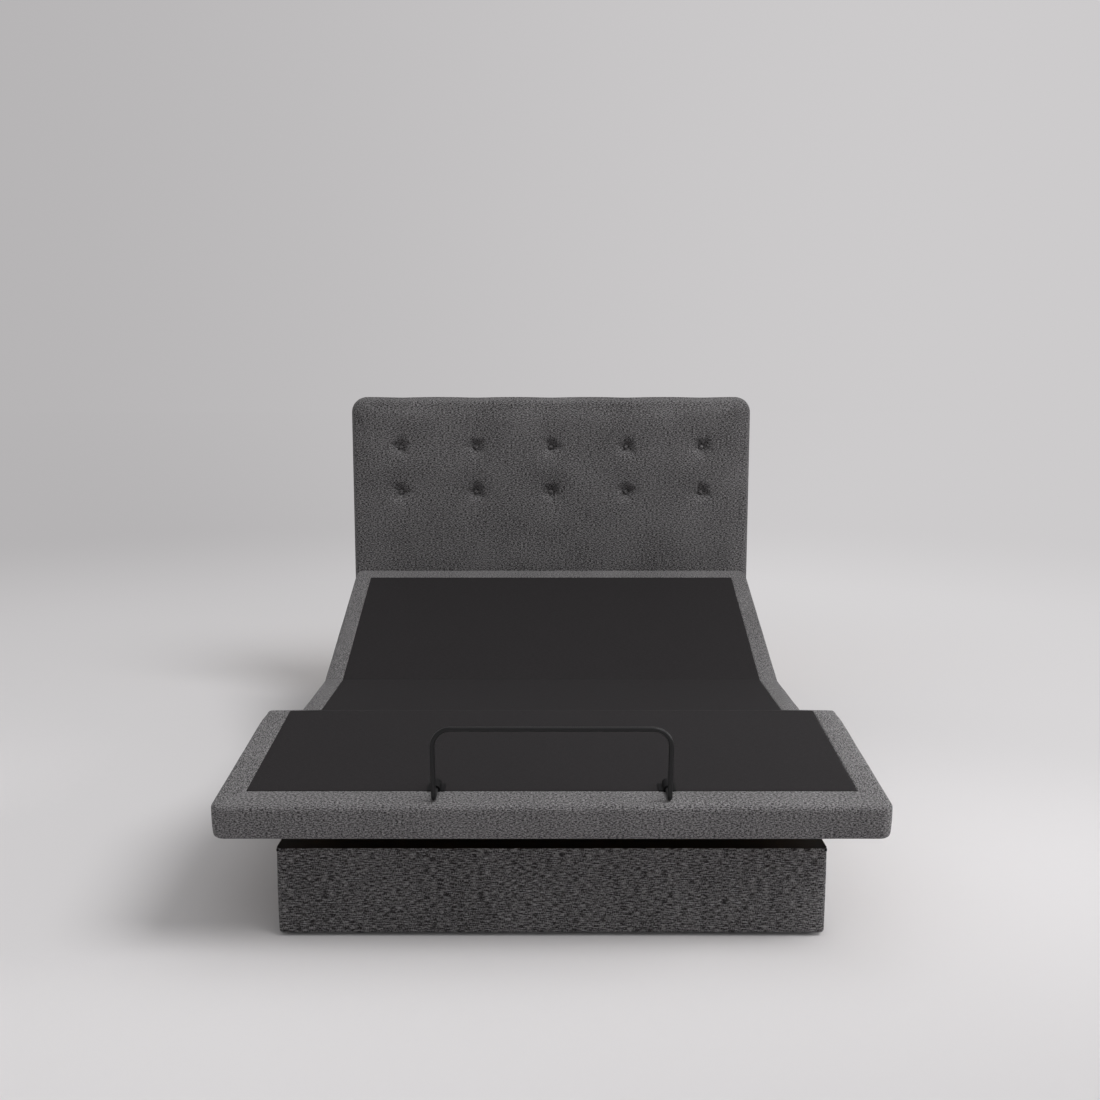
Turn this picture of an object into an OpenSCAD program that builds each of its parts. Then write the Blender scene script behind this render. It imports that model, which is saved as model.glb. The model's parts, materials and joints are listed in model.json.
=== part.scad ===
// Adjustable bed base with an upholstered plinth and headboard.
// Millimetres. +Z is up, +X is the right-hand side seen from the foot end, +Y points to the head end.
// The origin is on the floor under the middle of the whole object.
// The deck is drawn at rest: back rest raised, thighs raised, foot panel sloping down.

/* [Deck] */
// Width of the deck over its upholstery
deck_w = 1524; // [1350:1:1700]
// Thickness of a deck section, top cloth to underside
deck_t = 80; // [76:1:96]
// Length of the back section
back_len = 762; // [700:1:820]
// Length of the fixed seat section
seat_len = 378; // [340:1:420]
// Length of the thigh section
thigh_len = 430; // [410:1:480]
// Length of the foot section
foot_len = 538; // [480:1:600]
// Width of the border cloth round the top
border_w = 61; // [50:1:75]
// Thickness of the foam on the sides
side_foam = 12; // [8:1:15]
// Thickness of the top cloth and its felt
cloth_t = 3; // [2:0.5:4]
// Thickness of the deck boards
board_t = 15; // [12:1:18]
// Thickness of the timber rails under the boards
rail_t = 20; // [16:1:22]
// Corner radius of the deck at its two ends
deck_corner_r = 30; // [20:1:45]

/* [Rest pose] */
// Slope of the back section, degrees
back_angle = 20.2; // [5:0.1:55]
// Slope of the thigh section, degrees
thigh_angle = 15.4; // [5:0.1:30]
// Downward slope of the foot section, degrees
foot_angle = 7; // [4:0.1:12]

/* [Plinth] */
// Width of the plinth over its cloth
plinth_w = 1295; // [1200:1:1320]
// Length of the plinth over its cloth
plinth_len = 1900; // [1850:1:1920]
// Height of the plinth
plinth_h = 218; // [210:1:230]
// Gap under the plinth cloth
skirt_gap = 11; // [8:1:16]
// How far the foot end of the deck stands out past the plinth
foot_overhang = 110; // [95:1:130]
// Thickness of the plinth boards
plinth_board_t = 18; // [15:1:22]
// Thickness of the padding and cloth on the plinth
plinth_cover_t = 5; // [4:0.5:8]
// Thickness of the black ledge on top
ledge_t = 6; // [5:0.5:8]
// Width of the ledge
ledge_w = 90; // [70:1:95]
// Thickness of the toe rails behind the plinth boards
toe_rail_t = 40; // [34:1:50]
// Gap between the ledge and the deck when the deck lies flat
deck_gap = 21; // [19:1:30]

/* [Chassis] */
// Distance between a plinth board and the middle of the chassis rail beside it
rail_inset = 104.5; // [99:0.5:112]
// Width of a chassis rail
chassis_rail_w = 30; // [25:1:34]
// Height of a chassis rail
chassis_rail_h = 60; // [60:1:64]
// How far the chassis rails' top lies under the plinth's top
chassis_drop = 8; // [7:0.5:10]
// Side of the square cross tubes
cross_side = 30; // [25:1:32]
// Wall of the steel tubes
tube_wall = 2.5; // [2:0.5:4]
// Thickness of steel plates, ears and levers
plate_t = 6; // [5:0.5:7]

/* [Hinges] */
// Depth of the hinge pins' axes under the deck's top
hinge_drop = 7; // [6.5:0.5:8]
// Radius of the hinge pins
hinge_pin_r = 3; // [2.5:0.5:3.5]
// Radius of the hinge knuckles
knuckle_r = 5.5; // [5:0.5:6]
// Length of one knuckle
knuckle_len = 22; // [18:1:30]
// Length of a hinge leaf, from the pin's axis
leaf_len = 50; // [38:1:58]
// Thickness of a hinge leaf
leaf_t = 3; // [2:0.5:3]
// Distance of the outer hinges from the middle
hinge_spread = 560; // [500:5:600]
// Steepest fold at the knee, degrees
knee_fold_max = 56; // [56:1:60]

/* [Drives] */
// Distance of each drive from the bed's middle line
drive_x = 150; // [120:1:200]
// Distance from a deck hinge to its drive pin
lever_r = 100; // [98:1:104]
// Back slope at which the back lever hangs straight down, degrees
back_lever_set = 24; // [23:0.5:25]
// Thigh slope at which the thigh lever hangs straight down, degrees
thigh_lever_set = 13; // [12:0.5:14]
// Distance from the back hinge to the back drive's fixed pin
back_drive_reach = 405.5; // [403:0.5:408]
// Distance from the thigh hinge to the thigh drive's fixed pin
thigh_drive_reach = 395; // [393:0.5:397]
// Depth of the drives' fixed pins under the deck hinges
drive_drop = 105; // [104:0.5:107]
// Radius of the drives' pins
drive_pin_r = 6; // [5:0.5:6]
// Radius of the drives' tubes
drive_tube_r = 18; // [16:1:20]
// Radius of the drives' push rods
push_rod_r = 10; // [8:1:11]
// Radius of the drive motors
motor_r = 29; // [25:1:32]
// Length of the drive motors
motor_len = 105; // [90:1:115]

/* [Foot linkage] */
// Distance from the thigh hinge to the link's fixed axis, towards the foot
link_reach = 227.6; // [226:0.2:229]
// Depth of the link's fixed axis under the deck hinges
link_drop = 75; // [74:0.5:77]
// Distance from the knee to the link's upper pin
link_pin_along = 128; // [127:0.5:129]
// Depth of the link's upper pin under the knee hinge
link_pin_drop = 50; // [49:0.5:51]
// Distance between a chassis rail's inner face and the middle of the link arm beside it
link_inset = 35; // [31:1:42]
// Radius of the link's cross tube
link_tube_r = 13; // [11:1:15]

/* [Retainer bar] */
// Width of the bar between the middles of its legs
bar_w = 530; // [440:1:620]
// Height of the bar above the deck
bar_h = 183; // [120:1:230]
// Radius of the bar
bar_r = 5.5; // [4.5:0.5:7]
// Bend radius of the bar's two upper corners
bar_corner_r = 42; // [30:1:60]
// Bend radius at the bar's two feet
bar_foot_r = 13; // [10:1:18]
// How far the bar's feet reach into their sockets
bar_grip = 30; // [20:1:40]

/* [Headboard] */
// Width of the headboard
headboard_w = 1583; // [1450:1:1700]
// Height of the headboard's top
headboard_top = 1255; // [1050:1:1400]
// Height of the headboard's lower edge
headboard_bottom = 262; // [230:1:320]
// Corner radius at the headboard's top
headboard_corner_r = 62; // [30:1:90]
// Thickness of the headboard's padding
headboard_pad_t = 55; // [40:1:70]
// Thickness of the headboard's panel
headboard_panel_t = 18; // [15:1:24]
// Thickness of the headboard's steel legs
headboard_leg_t = 12; // [8:1:14]
// Width of the headboard's legs
headboard_leg_w = 60; // [45:1:70]
// Distance of each headboard leg from the middle
headboard_leg_x = 430; // [350:5:500]
// Gap between the flat deck's end and the headboard
headboard_gap = 41; // [30:1:60]
// Distance between neighbouring buttons
button_pitch = 298; // [250:1:320]
// Height of the upper row of buttons
button_row_high = 1058; // [950:1:1100]
// Height of the lower row of buttons
button_row_low = 879; // [700:1:930]
// Radius of a button
button_r = 11; // [8:0.5:14]
// Depth of a button's dimple
button_depth = 20; // [12:1:28]

/* [Hidden] */
$fn = 48;

// Clearances
run = 0.05;          // radial clearance of a pin in its bore
side = 1;            // side clearance between a lever, ear or eye and its neighbour
seat_clear = 0.5;    // air between a bumper or rod and what it stops
fold_gap = 7;        // distance of a board's end from its hinge's axis
soft_gap = 6;        // distance of a cloth's end from its hinge's axis
underside_lift = 2;  // how far the timber rails end above the deck's underside
pocket_air = 1;      // air round a hinge leaf's three edges in its pocket
board_air = 0.3;     // air under a hinge leaf in its pocket
overcut = 1;         // how far a cut runs past the face it leaves
butt_gap = 0.3;      // glue line between two timber rails

// Deck heights, measured from a hinge's axis
top_z = hinge_drop;
board_top = top_z - cloth_t;
board_bottom = board_top - board_t;
deck_bottom = top_z - deck_t;
rail_bottom = deck_bottom + underside_lift;
core_x = deck_w / 2 - side_foam;

// Retainer bar, in the foot section's frame
bar_foot_z = top_z + seat_clear + bar_r;
bar_leg_y = foot_len - bar_r - 3;
socket_mouth_y = foot_len - border_w;

// Heights above the floor
flat_deck_z = plinth_h + deck_gap;
axis_z = flat_deck_z - deck_bottom;
chassis_top = plinth_h - chassis_drop;
chassis_bottom = chassis_top - chassis_rail_h;
ledge_bottom = plinth_h - ledge_t;

// Places along the bed
knee_run = thigh_len * cos(thigh_angle);
foot_run = foot_len * cos(foot_angle) + top_z * sin(foot_angle);
headboard_t = headboard_pad_t + headboard_panel_t + headboard_leg_t;
bolt_head_t = 5;
// The retainer bar leans out over the foot end
bar_run = bar_leg_y * cos(foot_angle) + (top_z + bar_h - bar_r) * sin(foot_angle) + bar_r;
front_run = max(foot_run, bar_run);
total_len = front_run + knee_run + seat_len + back_len + headboard_gap + headboard_t + bolt_head_t;
thigh_axis_y = front_run + knee_run - total_len / 2;
back_axis_y = thigh_axis_y + seat_len;
knee_axis_y = thigh_axis_y - knee_run;
foot_end_y = knee_axis_y - foot_run;
knee_axis_z = axis_z + thigh_len * sin(thigh_angle);
headboard_y = back_axis_y + back_len + headboard_gap;
plinth_y0 = foot_end_y + foot_overhang;
plinth_y1 = plinth_y0 + plinth_len;

// Plinth boards
board_out_x = plinth_w / 2 - plinth_cover_t;
board_in_x = board_out_x - plinth_board_t;
board_y0 = plinth_y0 + plinth_cover_t;
board_y1 = plinth_y1 - plinth_cover_t;
board_in_y0 = board_y0 + plinth_board_t;
board_in_y1 = board_y1 - plinth_board_t;
cover_corner_r = 12;
glide_h = 3;
glide_r = 16;
toe_rail_rise = 45;       // how far the toe rails reach up behind the plinth boards
toe_rail_top = skirt_gap + toe_rail_rise;

// Chassis
hanger_t = 6;
rail_x = board_in_x - rail_inset;
rail_in = rail_x - chassis_rail_w / 2;
rail_y0 = board_in_y0 + hanger_t;
rail_y1 = board_in_y1 - hanger_t;
cross_top = chassis_bottom + cross_side;
rib_t = rail_t;
hinge_xs = [-hinge_spread, 0, hinge_spread];
knuckle_gap = 0.4;        // side clearance between two knuckles
lever_air = 3;            // air between a lever and the neighbouring section's timber rail
leaf_z = [board_top - leaf_t, board_top];
link_notch = 18;          // half the gap left in a deck rail over a link arm
back_drive_y = back_axis_y - back_drive_reach;
thigh_drive_y = thigh_axis_y + thigh_drive_reach;
drive_z = axis_z - drive_drop;
ear_offset = 14;          // from a drive's fixed pin to its cross tube
ear_r = 15;               // steel left round a pin's bore in an ear
tube_front_inset = 120;   // from the plinth's foot board to the first cross tube
tube_rear_inset = 180;    // from the plinth's head board to the last cross tube
tube_front_y = board_in_y0 + tube_front_inset;
tube_rear_y = board_in_y1 - tube_rear_inset;
tube_back_drive_y = back_drive_y - ear_offset - cross_side;
tube_thigh_drive_y = thigh_drive_y + ear_offset;
cross_ys = [tube_front_y, tube_back_drive_y, tube_thigh_drive_y, tube_rear_y];
centre_leg_ys = [for (y = [tube_back_drive_y, tube_thigh_drive_y]) y + cross_side / 2];

// Foot link
link_axis_y = thigh_axis_y - link_reach;
link_axis_z = axis_z - link_drop;
link_pin_r = drive_pin_r;
link_x = rail_in - link_inset;
link_ear_x = rail_in - plate_t;

// Drives
eye_w = 24;
eye_r = 14;
fork_in = eye_w / 2 + side;
fork_out = fork_in + plate_t;
motor_set = 62;           // from a drive's fixed pin to its motor's axis
gear_half = 26;           // half the width of a drive's gearbox
gear_wall = 4;            // casing left round a drive's gears
motor_top = -drive_tube_r - gear_wall;
pin_end = 4;              // how far a pivot pin stands out past what it holds
drive_tube_len = 300;
rod_start = 130;          // from a drive's fixed pin to its push rod's inner end, at rest
back_pin_at = lever_r * [sin(back_angle - back_lever_set), -cos(back_angle - back_lever_set)];
thigh_pin_at = lever_r * [sin(thigh_angle - thigh_lever_set), -cos(thigh_angle - thigh_lever_set)];
back_drive_vec = back_pin_at - [-back_drive_reach, -drive_drop];
thigh_drive_vec = thigh_pin_at - [-thigh_drive_reach, -drive_drop];

// The stretch from lo to hi about a place
function span(at, lo, hi) = [at + lo, at + hi];

// A block between two corners
module block(x, y, z) {
    translate([x[0], y[0], z[0]]) cube([x[1] - x[0], y[1] - y[0], z[1] - z[0]]);
}

// The same shape on both sides of the bed's middle
module both_sides() {
    children();
    mirror([1, 0, 0]) children();
}

// A flat outline in Y and Z, thickened along X
module plate_yz(x, t) {
    translate([x, 0, 0]) rotate([90, 0, 90]) linear_extrude(t) children();
}

// A round bar along X from x0 to x1
module bar_x(x0, x1, r) {
    translate([x0, 0, 0]) rotate([0, 90, 0]) cylinder(h = x1 - x0, r = r);
}

// A square tube along Y with open ends
module tube_y(x, y, z, wall) {
    difference() {
        block(x, y, z);
        block([x[0] + wall, x[1] - wall], [y[0] - 1, y[1] + 1], [z[0] + wall, z[1] - wall]);
    }
}

// A square tube along X with open ends
module tube_x(x, y, z, wall) {
    difference() {
        block(x, y, z);
        block([x[0] - 1, x[1] + 1], [y[0] + wall, y[1] - wall], [z[0] + wall, z[1] - wall]);
    }
}

// Each deck section is drawn lying flat: its hinge axis at the origin, its length along +Y
module at_back() {
    translate([0, back_axis_y, axis_z]) rotate([back_angle, 0, 0]) children();
}
module at_seat() {
    translate([0, thigh_axis_y, axis_z]) children();
}
module at_thigh() {
    translate([0, thigh_axis_y, axis_z]) rotate([-thigh_angle, 0, 0]) mirror([0, 1, 0]) children();
}
module at_foot() {
    translate([0, knee_axis_y, knee_axis_z]) rotate([foot_angle, 0, 0]) mirror([0, 1, 0]) children();
}

// What is cut from a section's knee end so that the two sections can fold there.
// at is the knee's place along the section, and way is 1 where the section lies beyond it.
module knee_mitre(at, way) {
    translate([0, at, 0]) rotate([way * (knee_fold_max / 2 + 1), 0, 0])
        block([-deck_w, deck_w], way > 0 ? [-2 * deck_t, 0] : [0, 2 * deck_t], [-2 * deck_t, 0]);
}

// A plan outline whose far corners are rounded
module plan(half_w, y0, y1, r) {
    translate([-half_w, y0]) square([2 * half_w, y1 - y0 - r]);
    translate([-half_w + r, y0]) square([2 * (half_w - r), y1 - y0]);
    for (s = [-1, 1]) translate([s * (half_w - r), y1 - r]) circle(r);
}

// Deck board, pocketed for the hinge leaves at each hinged end
module deck_board(y0, y1, r, pockets) {
    difference() {
        translate([0, 0, board_bottom]) linear_extrude(board_t) {
            if (r > 0) plan(core_x, y0, y1, r);
            else translate([-core_x, y0]) square([2 * core_x, y1 - y0]);
        }
        for (p = pockets, x = hinge_xs) {
            half = 1.5 * knuckle_len + pocket_air;
            reach = leaf_len + pocket_air;
            block([x - half, x + half], p[1] > 0 ? span(p[0], -overcut, reach) : span(p[0], -reach, overcut),
                [board_top - leaf_t - board_air, board_top + overcut]);
        }
    }
}

// Timber rails under a deck board: outer rails, inner ribs over the chassis and the cross rails
module deck_rails(y0, y1, cross, r, notched) {
    end_y = r > 0 ? y1 - r : y1;
    both_sides() {
        block([core_x - rail_t, core_x], [y0, end_y], [rail_bottom, board_bottom]);
        block([rail_x - rib_t / 2, rail_x + rib_t / 2], [y0, end_y], [rail_bottom, board_bottom]);
    }
    rib_half = rib_t / 2 + butt_gap;
    for (c = cross) difference() {
        half = core_x - rail_t - butt_gap - (c[1] ? r : 0);
        block([-half, half], [c[0], c[0] + rail_t], [rail_bottom, board_bottom]);
        both_sides() for (cut = notched ? [[rail_x, rib_half], [link_x, link_notch]] : [[rail_x, rib_half]])
            block(span(cut[0], -cut[1], cut[1]), span(c[0], -overcut, rail_t + overcut),
                [rail_bottom - overcut, board_bottom + overcut]);
    }
}

// Padded border: foam down the outside and a strip on top. The far end is closed when r > 0
module border(y0, y1, r) {
    difference() {
        translate([0, 0, deck_bottom]) linear_extrude(deck_t) {
            if (r > 0) plan(deck_w / 2, y0, y1, r);
            else translate([-deck_w / 2, y0]) square([deck_w, y1 - y0]);
        }
        // room for the board and rails
        translate([0, 0, deck_bottom - overcut]) linear_extrude(board_top - deck_bottom + overcut) {
            if (r > 0) plan(core_x, y0 - 2 * deck_t, y1 - side_foam, r - side_foam);
            else translate([-core_x, y0 - 2 * deck_t]) square([2 * core_x, y1 - y0 + 4 * deck_t]);
        }
        // room for the dark top cloth
        block([-deck_w / 2 + border_w, deck_w / 2 - border_w],
            [y0 - 2 * deck_t, r > 0 ? y1 - border_w : y1 + 2 * deck_t],
            [board_top - overcut, top_z + overcut]);
    }
}

module top_cloth(y0, y1) {
    block([-deck_w / 2 + border_w, deck_w / 2 - border_w], [y0, y1], [board_top, top_z]);
}

// One knuckle with its leaf, the leaf lying in the board's pocket towards +Y
module knuckle(x0, x1) {
    difference() {
        union() {
            bar_x(x0, x1, knuckle_r);
            block([x0, x1], [0, leaf_len], leaf_z);
        }
        bar_x(x0 - overcut, x1 + overcut, hinge_pin_r + run);
    }
}

// The side of a hinge that carries the middle knuckle
module hinge_middle() {
    for (x = hinge_xs) translate([x, 0, 0]) knuckle(-knuckle_len / 2, knuckle_len / 2);
}

// The side of a hinge that carries the two outer knuckles and the riveted pin
module hinge_outer() {
    in_x = knuckle_len / 2 + knuckle_gap;
    out_x = 1.5 * knuckle_len;
    for (x = hinge_xs) translate([x, 0, 0]) {
        both_sides() {
            bar_x(in_x, out_x, knuckle_r);
            block([in_x, out_x], [0, leaf_len], leaf_z);
        }
        block([-out_x, out_x], [leaf_len / 3, leaf_len], leaf_z);
        bar_x(-out_x, out_x, hinge_pin_r);
    }
}

// A slot along a lever: radii from the hinge, and the pin's two limits across
module lever_slot(set, radii, across) {
    half = (across[1] - across[0]) / 2 + drive_pin_r;
    end = fork_out + overcut;
    rotate([-set, 0, 0]) translate([0, (across[0] + across[1]) / 2, 0]) {
        for (r = radii) translate([0, 0, -r]) bar_x(-end, end, half);
        block([-end, end], [-half, half], [-radii[1], -radii[0]]);
    }
}

// A point of the lever's own frame in the section's frame
function lever_point(y, z, set) = [y * cos(set) + z * sin(set), z * cos(set) - y * sin(set)];

// Fork of two lever plates on a square cross tube, under a deck section
module lever(x, set, along, across) {
    r_in = lever_r + along[0];
    r_out = lever_r + along[1];
    boss = 17;
    flank = boss - 2;
    root_y = fold_gap + rail_t + 1;
    brace_y = 118;
    brace_drop = 9;
    plate_top = board_bottom - 1;
    tube_y0 = 60;
    tube_half = 350;
    under = rail_bottom - lever_air;
    outline = [
        [root_y, plate_top], [brace_y, plate_top], [brace_y, board_bottom - cross_side - brace_drop],
        lever_point(flank, -r_out, set), lever_point(-flank, -r_out, set),
        [lever_point(-flank, -r_in, set)[0], under], [root_y, under]
    ];
    difference() {
        for (at = [x + fork_in, x - fork_out]) plate_yz(at, plate_t) {
            polygon(outline);
            translate(lever_point(0, -r_out, set)) circle(boss);
        }
        block([x - fork_out - overcut, x + fork_out + overcut],
            span(tube_y0, tube_wall, cross_side - tube_wall),
            span(board_bottom, tube_wall - cross_side, -tube_wall));
        translate([x, 0, 0]) lever_slot(set, [r_in, r_out], across);
    }
    tube_x([-tube_half, tube_half], span(tube_y0, 0, cross_side), span(board_bottom, -cross_side, 0),
        tube_wall);
}

// Plinth ------------------------------------------------------------------------------------

board_z = [skirt_gap, ledge_bottom];

module plinth_foot_board() {
    color("burlywood") block([-board_out_x, board_out_x], [board_y0, board_in_y0], board_z);
}

module plinth_head_board() {
    color("burlywood") block([-board_out_x, board_out_x], [board_in_y1, board_y1], board_z);
}

module plinth_left_board() {
    color("burlywood") block([-board_out_x, -board_in_x], [board_in_y0, board_in_y1], board_z);
}

module plinth_right_board() {
    color("burlywood") block([board_in_x, board_out_x], [board_in_y0, board_in_y1], board_z);
}

// Rounded rectangle in plan
module rounded_plan(x, y, r) {
    translate([-x, y[0] + r]) square([2 * x, y[1] - y[0] - 2 * r]);
    translate([-x + r, y[0]]) square([2 * (x - r), y[1] - y[0]]);
    for (sx = [-1, 1], cy = [y[0] + r, y[1] - r]) translate([sx * (x - r), cy]) circle(r);
}

// Cloth and thin padding round the outside of the plinth boards
module plinth_cover() {
    color("dimgray") difference() {
        translate([0, 0, skirt_gap]) linear_extrude(ledge_bottom - skirt_gap)
            rounded_plan(plinth_w / 2, [plinth_y0, plinth_y1], cover_corner_r);
        block([-board_out_x, board_out_x], [board_y0, board_y1], [0, plinth_h]);
    }
}

// Glue blocks inside the four corners
module corner_blocks() {
    size = 45;
    color("tan") both_sides() for (y = [board_in_y0, board_in_y1 - size])
        block([board_in_x - size, board_in_x], [y, y + size], [toe_rail_top, ledge_bottom]);
}

// Inset rails that carry the plinth on the floor
module toe_rails() {
    z = [glide_h, toe_rail_top];
    y = [board_in_y0, board_in_y1];
    ends = toe_rail_t + butt_gap;
    color("#1b1b1c") {
        both_sides() block([board_in_x - toe_rail_t, board_in_x], [y[0] + ends, y[1] - ends], z);
        for (y0 = [y[0], y[1] - toe_rail_t]) block([-board_in_x, board_in_x], [y0, y0 + toe_rail_t], z);
    }
}

// Nylon glides under the toe rails and the centre legs
module floor_glides() {
    half = toe_rail_t / 2;
    ys = [board_in_y0 + half, plinth_y0 + plinth_len / 2, board_in_y1 - half];
    color("#111111") {
        both_sides() for (y = ys) translate([board_in_x - half, y, 0]) cylinder(h = glide_h, r = glide_r);
        for (y = centre_leg_ys) translate([0, y, 0]) cylinder(h = glide_h, r = glide_r);
    }
}

// Black ledge on top of the plinth
module top_ledge() {
    out_x = plinth_w / 2 - 1;
    y = [plinth_y0 + 1, plinth_y1 - 1];
    z = [ledge_bottom, plinth_h];
    color("#121213") {
        for (y0 = [y[0], y[1] - ledge_w]) block([-out_x, out_x], [y0, y0 + ledge_w], z);
        both_sides() block([out_x - ledge_w, out_x],
            [y[0] + ledge_w + butt_gap, y[1] - ledge_w - butt_gap], z);
    }
}

// Chassis -----------------------------------------------------------------------------------

// Steel seats screwed to the plinth boards, one at each end of each chassis rail
module rail_hangers() {
    flange = 18;
    shelf_len = 40;
    shelf_t = 5;
    screw_r = 4;
    half = chassis_rail_w / 2 + flange;
    z = [chassis_bottom - flange, chassis_top - screw_r];
    color("#2a2b2d") both_sides() for (end = [0, 1]) {
        y = end ? board_in_y1 - hanger_t : board_in_y0;
        shelf = end ? [y - shelf_len, y] : [y + hanger_t, y + hanger_t + shelf_len];
        difference() {
            block([rail_x - half, rail_x + half], [y, y + hanger_t], z);
            for (s = [-1, 1])
                translate([rail_x + s * (half - 2 * screw_r), y - overcut, z[1] - 4 * screw_r])
                    rotate([-90, 0, 0]) cylinder(h = hanger_t + 2 * overcut, r = screw_r);
        }
        block([rail_x - half, rail_x + half], shelf, [chassis_bottom - shelf_t, chassis_bottom]);
    }
}

module chassis_side_rails() {
    color("#1e1f21") both_sides()
        tube_y([rail_in, rail_in + chassis_rail_w], [rail_y0, rail_y1], [chassis_bottom, chassis_top],
            tube_wall);
}

module chassis_cross_tubes() {
    color("#1e1f21") for (y = cross_ys)
        tube_x([-rail_in, rail_in], [y, y + cross_side], [chassis_bottom, cross_top], tube_wall);
}

// Two legs that hold the chassis up in the middle
module centre_legs() {
    foot_t = 8;
    color("#1e1f21") for (y = centre_leg_ys) translate([0, y, glide_h]) {
        cylinder(h = chassis_bottom - glide_h, r = glide_r);
        cylinder(h = foot_t, r = 1.4 * glide_r);
    }
}

// Steel channels that carry the fixed seat on the chassis rails
module seat_posts() {
    half = chassis_rail_w / 2 - 2;
    post_len = 60;
    inset = 70;
    color("#1e1f21") both_sides() for (y = [inset, seat_len - inset - post_len])
        block([rail_x - half, rail_x + half], span(thigh_axis_y, y, y + post_len),
            [chassis_top, axis_z + rail_bottom]);
}

// Rubber blocks that the moving sections come down on
module rest_bumpers() {
    r = 11;
    flat_knee_y = thigh_axis_y - thigh_len;
    ys = [back_axis_y + back_len / 4, board_in_y1 - ledge_w - 2 * r,
        thigh_axis_y - thigh_len / 4, flat_knee_y - foot_len / 4, board_in_y0 + ledge_w + 2 * r];
    color("#0d0d0d") both_sides() for (y = ys)
        translate([rail_x, y, chassis_top])
            cylinder(h = axis_z + rail_bottom - seat_clear - chassis_top, r = r);
}

// Ears welded to the chassis: one fork for each drive, and one ear for each end of the foot link
module chassis_ears() {
    color("#1e1f21") {
        drive_ears(-drive_x, back_drive_y, 1);
        drive_ears(drive_x, thigh_drive_y, -1);
        both_sides() difference() {
            block([link_ear_x, rail_in], span(link_axis_y, -1.5 * ear_r, 1.5 * ear_r),
                [chassis_bottom + plate_t, link_axis_z + ear_r]);
            translate([0, link_axis_y, link_axis_z])
                bar_x(link_ear_x - overcut, rail_in + overcut, link_pin_r + run);
        }
    }
}

// way is 1 where the drive pushes towards the head
module drive_ears(x, y, way) {
    reach = ear_offset + cross_side;
    end = fork_out + overcut;
    for (at = [x + fork_in, x - fork_out]) difference() {
        block([at, at + plate_t], way > 0 ? span(y, -reach, ear_r) : span(y, -ear_r, reach),
            [cross_top, drive_z + ear_r]);
        translate([x, y, drive_z]) bar_x(-end, end, drive_pin_r + run);
    }
}

// The drives' fixed pins, with a head at each end
module drive_pins() {
    head_t = 3;
    head_r = drive_pin_r + 3;
    color("silver") for (p = [[-drive_x, back_drive_y], [drive_x, thigh_drive_y]])
        translate([p[0], p[1], drive_z]) both_sides() {
            bar_x(0, fork_out + side + head_t, drive_pin_r);
            bar_x(fork_out + side, fork_out + side + head_t, head_r);
        }
}

box_size = [200, 120, 52];
box_y0 = tube_rear_y + cross_side;
box_y1 = box_y0 + box_size[1];
inlet_size = [50, 26];
inlet_depth = 20;
inlet_x = [-inlet_size[0] / 2, inlet_size[0] / 2];
inlet_z = span(chassis_bottom + box_size[2] / 2, -inlet_size[1] / 2, inlet_size[1] / 2);

// Control box hung on the rear cross tube
module control_box() {
    tab = [30, 50, 5];
    color("#17181a") {
        difference() {
            block([-box_size[0] / 2, box_size[0] / 2], [box_y0, box_y1],
                span(chassis_bottom, 0, box_size[2]));
            block(inlet_x, [box_y1 - inlet_depth, box_y1 + overcut], inlet_z);
        }
        both_sides() block(span(box_size[0] / 2, 0, tab[0]), span(box_y0, 0, tab[1]),
            span(chassis_bottom, 0, tab[2]));
    }
}

// Three-pin mains inlet in the control box's rear face
module mains_inlet() {
    wall = 3;
    proud = 4;
    floor_y = box_y1 - inlet_depth + 2 * wall;
    blade = [1, 2];
    blades = [[-12, 8], [12, 8], [0, 16]];
    color("#0c0c0d") difference() {
        block(inlet_x, [box_y1 - inlet_depth, box_y1 + proud], inlet_z);
        block([inlet_x[0] + wall, inlet_x[1] - wall], [floor_y, box_y1 + proud + overcut],
            [inlet_z[0] + wall, inlet_z[1] - wall]);
    }
    color("silver") for (p = blades)
        block(span(p[0], -blade[0], blade[0]), [floor_y - 1, box_y1],
            span(inlet_z[0] + p[1], -blade[1], blade[1]));
}

// Seat section (fixed) ----------------------------------------------------------------------

module seat_board() {
    color("#c9a878") at_seat() deck_board(fold_gap, seat_len - fold_gap, 0, [[0, 1], [seat_len, -1]]);
}

module seat_frame() {
    color("#b89468") at_seat() deck_rails(fold_gap, seat_len - fold_gap,
        [[fold_gap, false], [seat_len - fold_gap - rail_t, false]], 0, false);
}

module seat_borders() {
    color("#6d6c6e") at_seat() border(soft_gap, seat_len - soft_gap, 0);
}

module seat_cloth() {
    color("#2c2b2d") at_seat() top_cloth(soft_gap, seat_len - soft_gap);
}

module back_hinge_fixed() {
    color("silver") translate([0, back_axis_y, axis_z]) mirror([0, 1, 0]) hinge_middle();
}

module thigh_hinge_fixed() {
    color("silver") at_seat() hinge_middle();
}

// Back section ------------------------------------------------------------------------------

module back_board() {
    color("#c9a878") at_back() deck_board(fold_gap, back_len - side_foam, deck_corner_r - side_foam, [[0, 1]]);
}

module back_frame() {
    far = back_len - side_foam;
    color("#b89468") at_back() deck_rails(fold_gap, far,
        [[fold_gap, false], [back_len / 2, false], [far - rail_t, true]], deck_corner_r - side_foam, false);
}

module back_border() {
    color("#6d6c6e") at_back() border(soft_gap, back_len, deck_corner_r);
}

module back_cloth() {
    color("#2c2b2d") at_back() top_cloth(soft_gap, back_len - border_w);
}

// What the drive pin drifts along and across its lever as the back section moves
back_slot_along = [-5, 16];
back_slot_across = [-0.6, 4.7];

module back_lever() {
    color("#1e1f21") at_back() lever(-drive_x, back_lever_set, back_slot_along, back_slot_across);
}

module back_hinge_moving() {
    color("silver") at_back() hinge_outer();
}

// Thigh section -----------------------------------------------------------------------------

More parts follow.
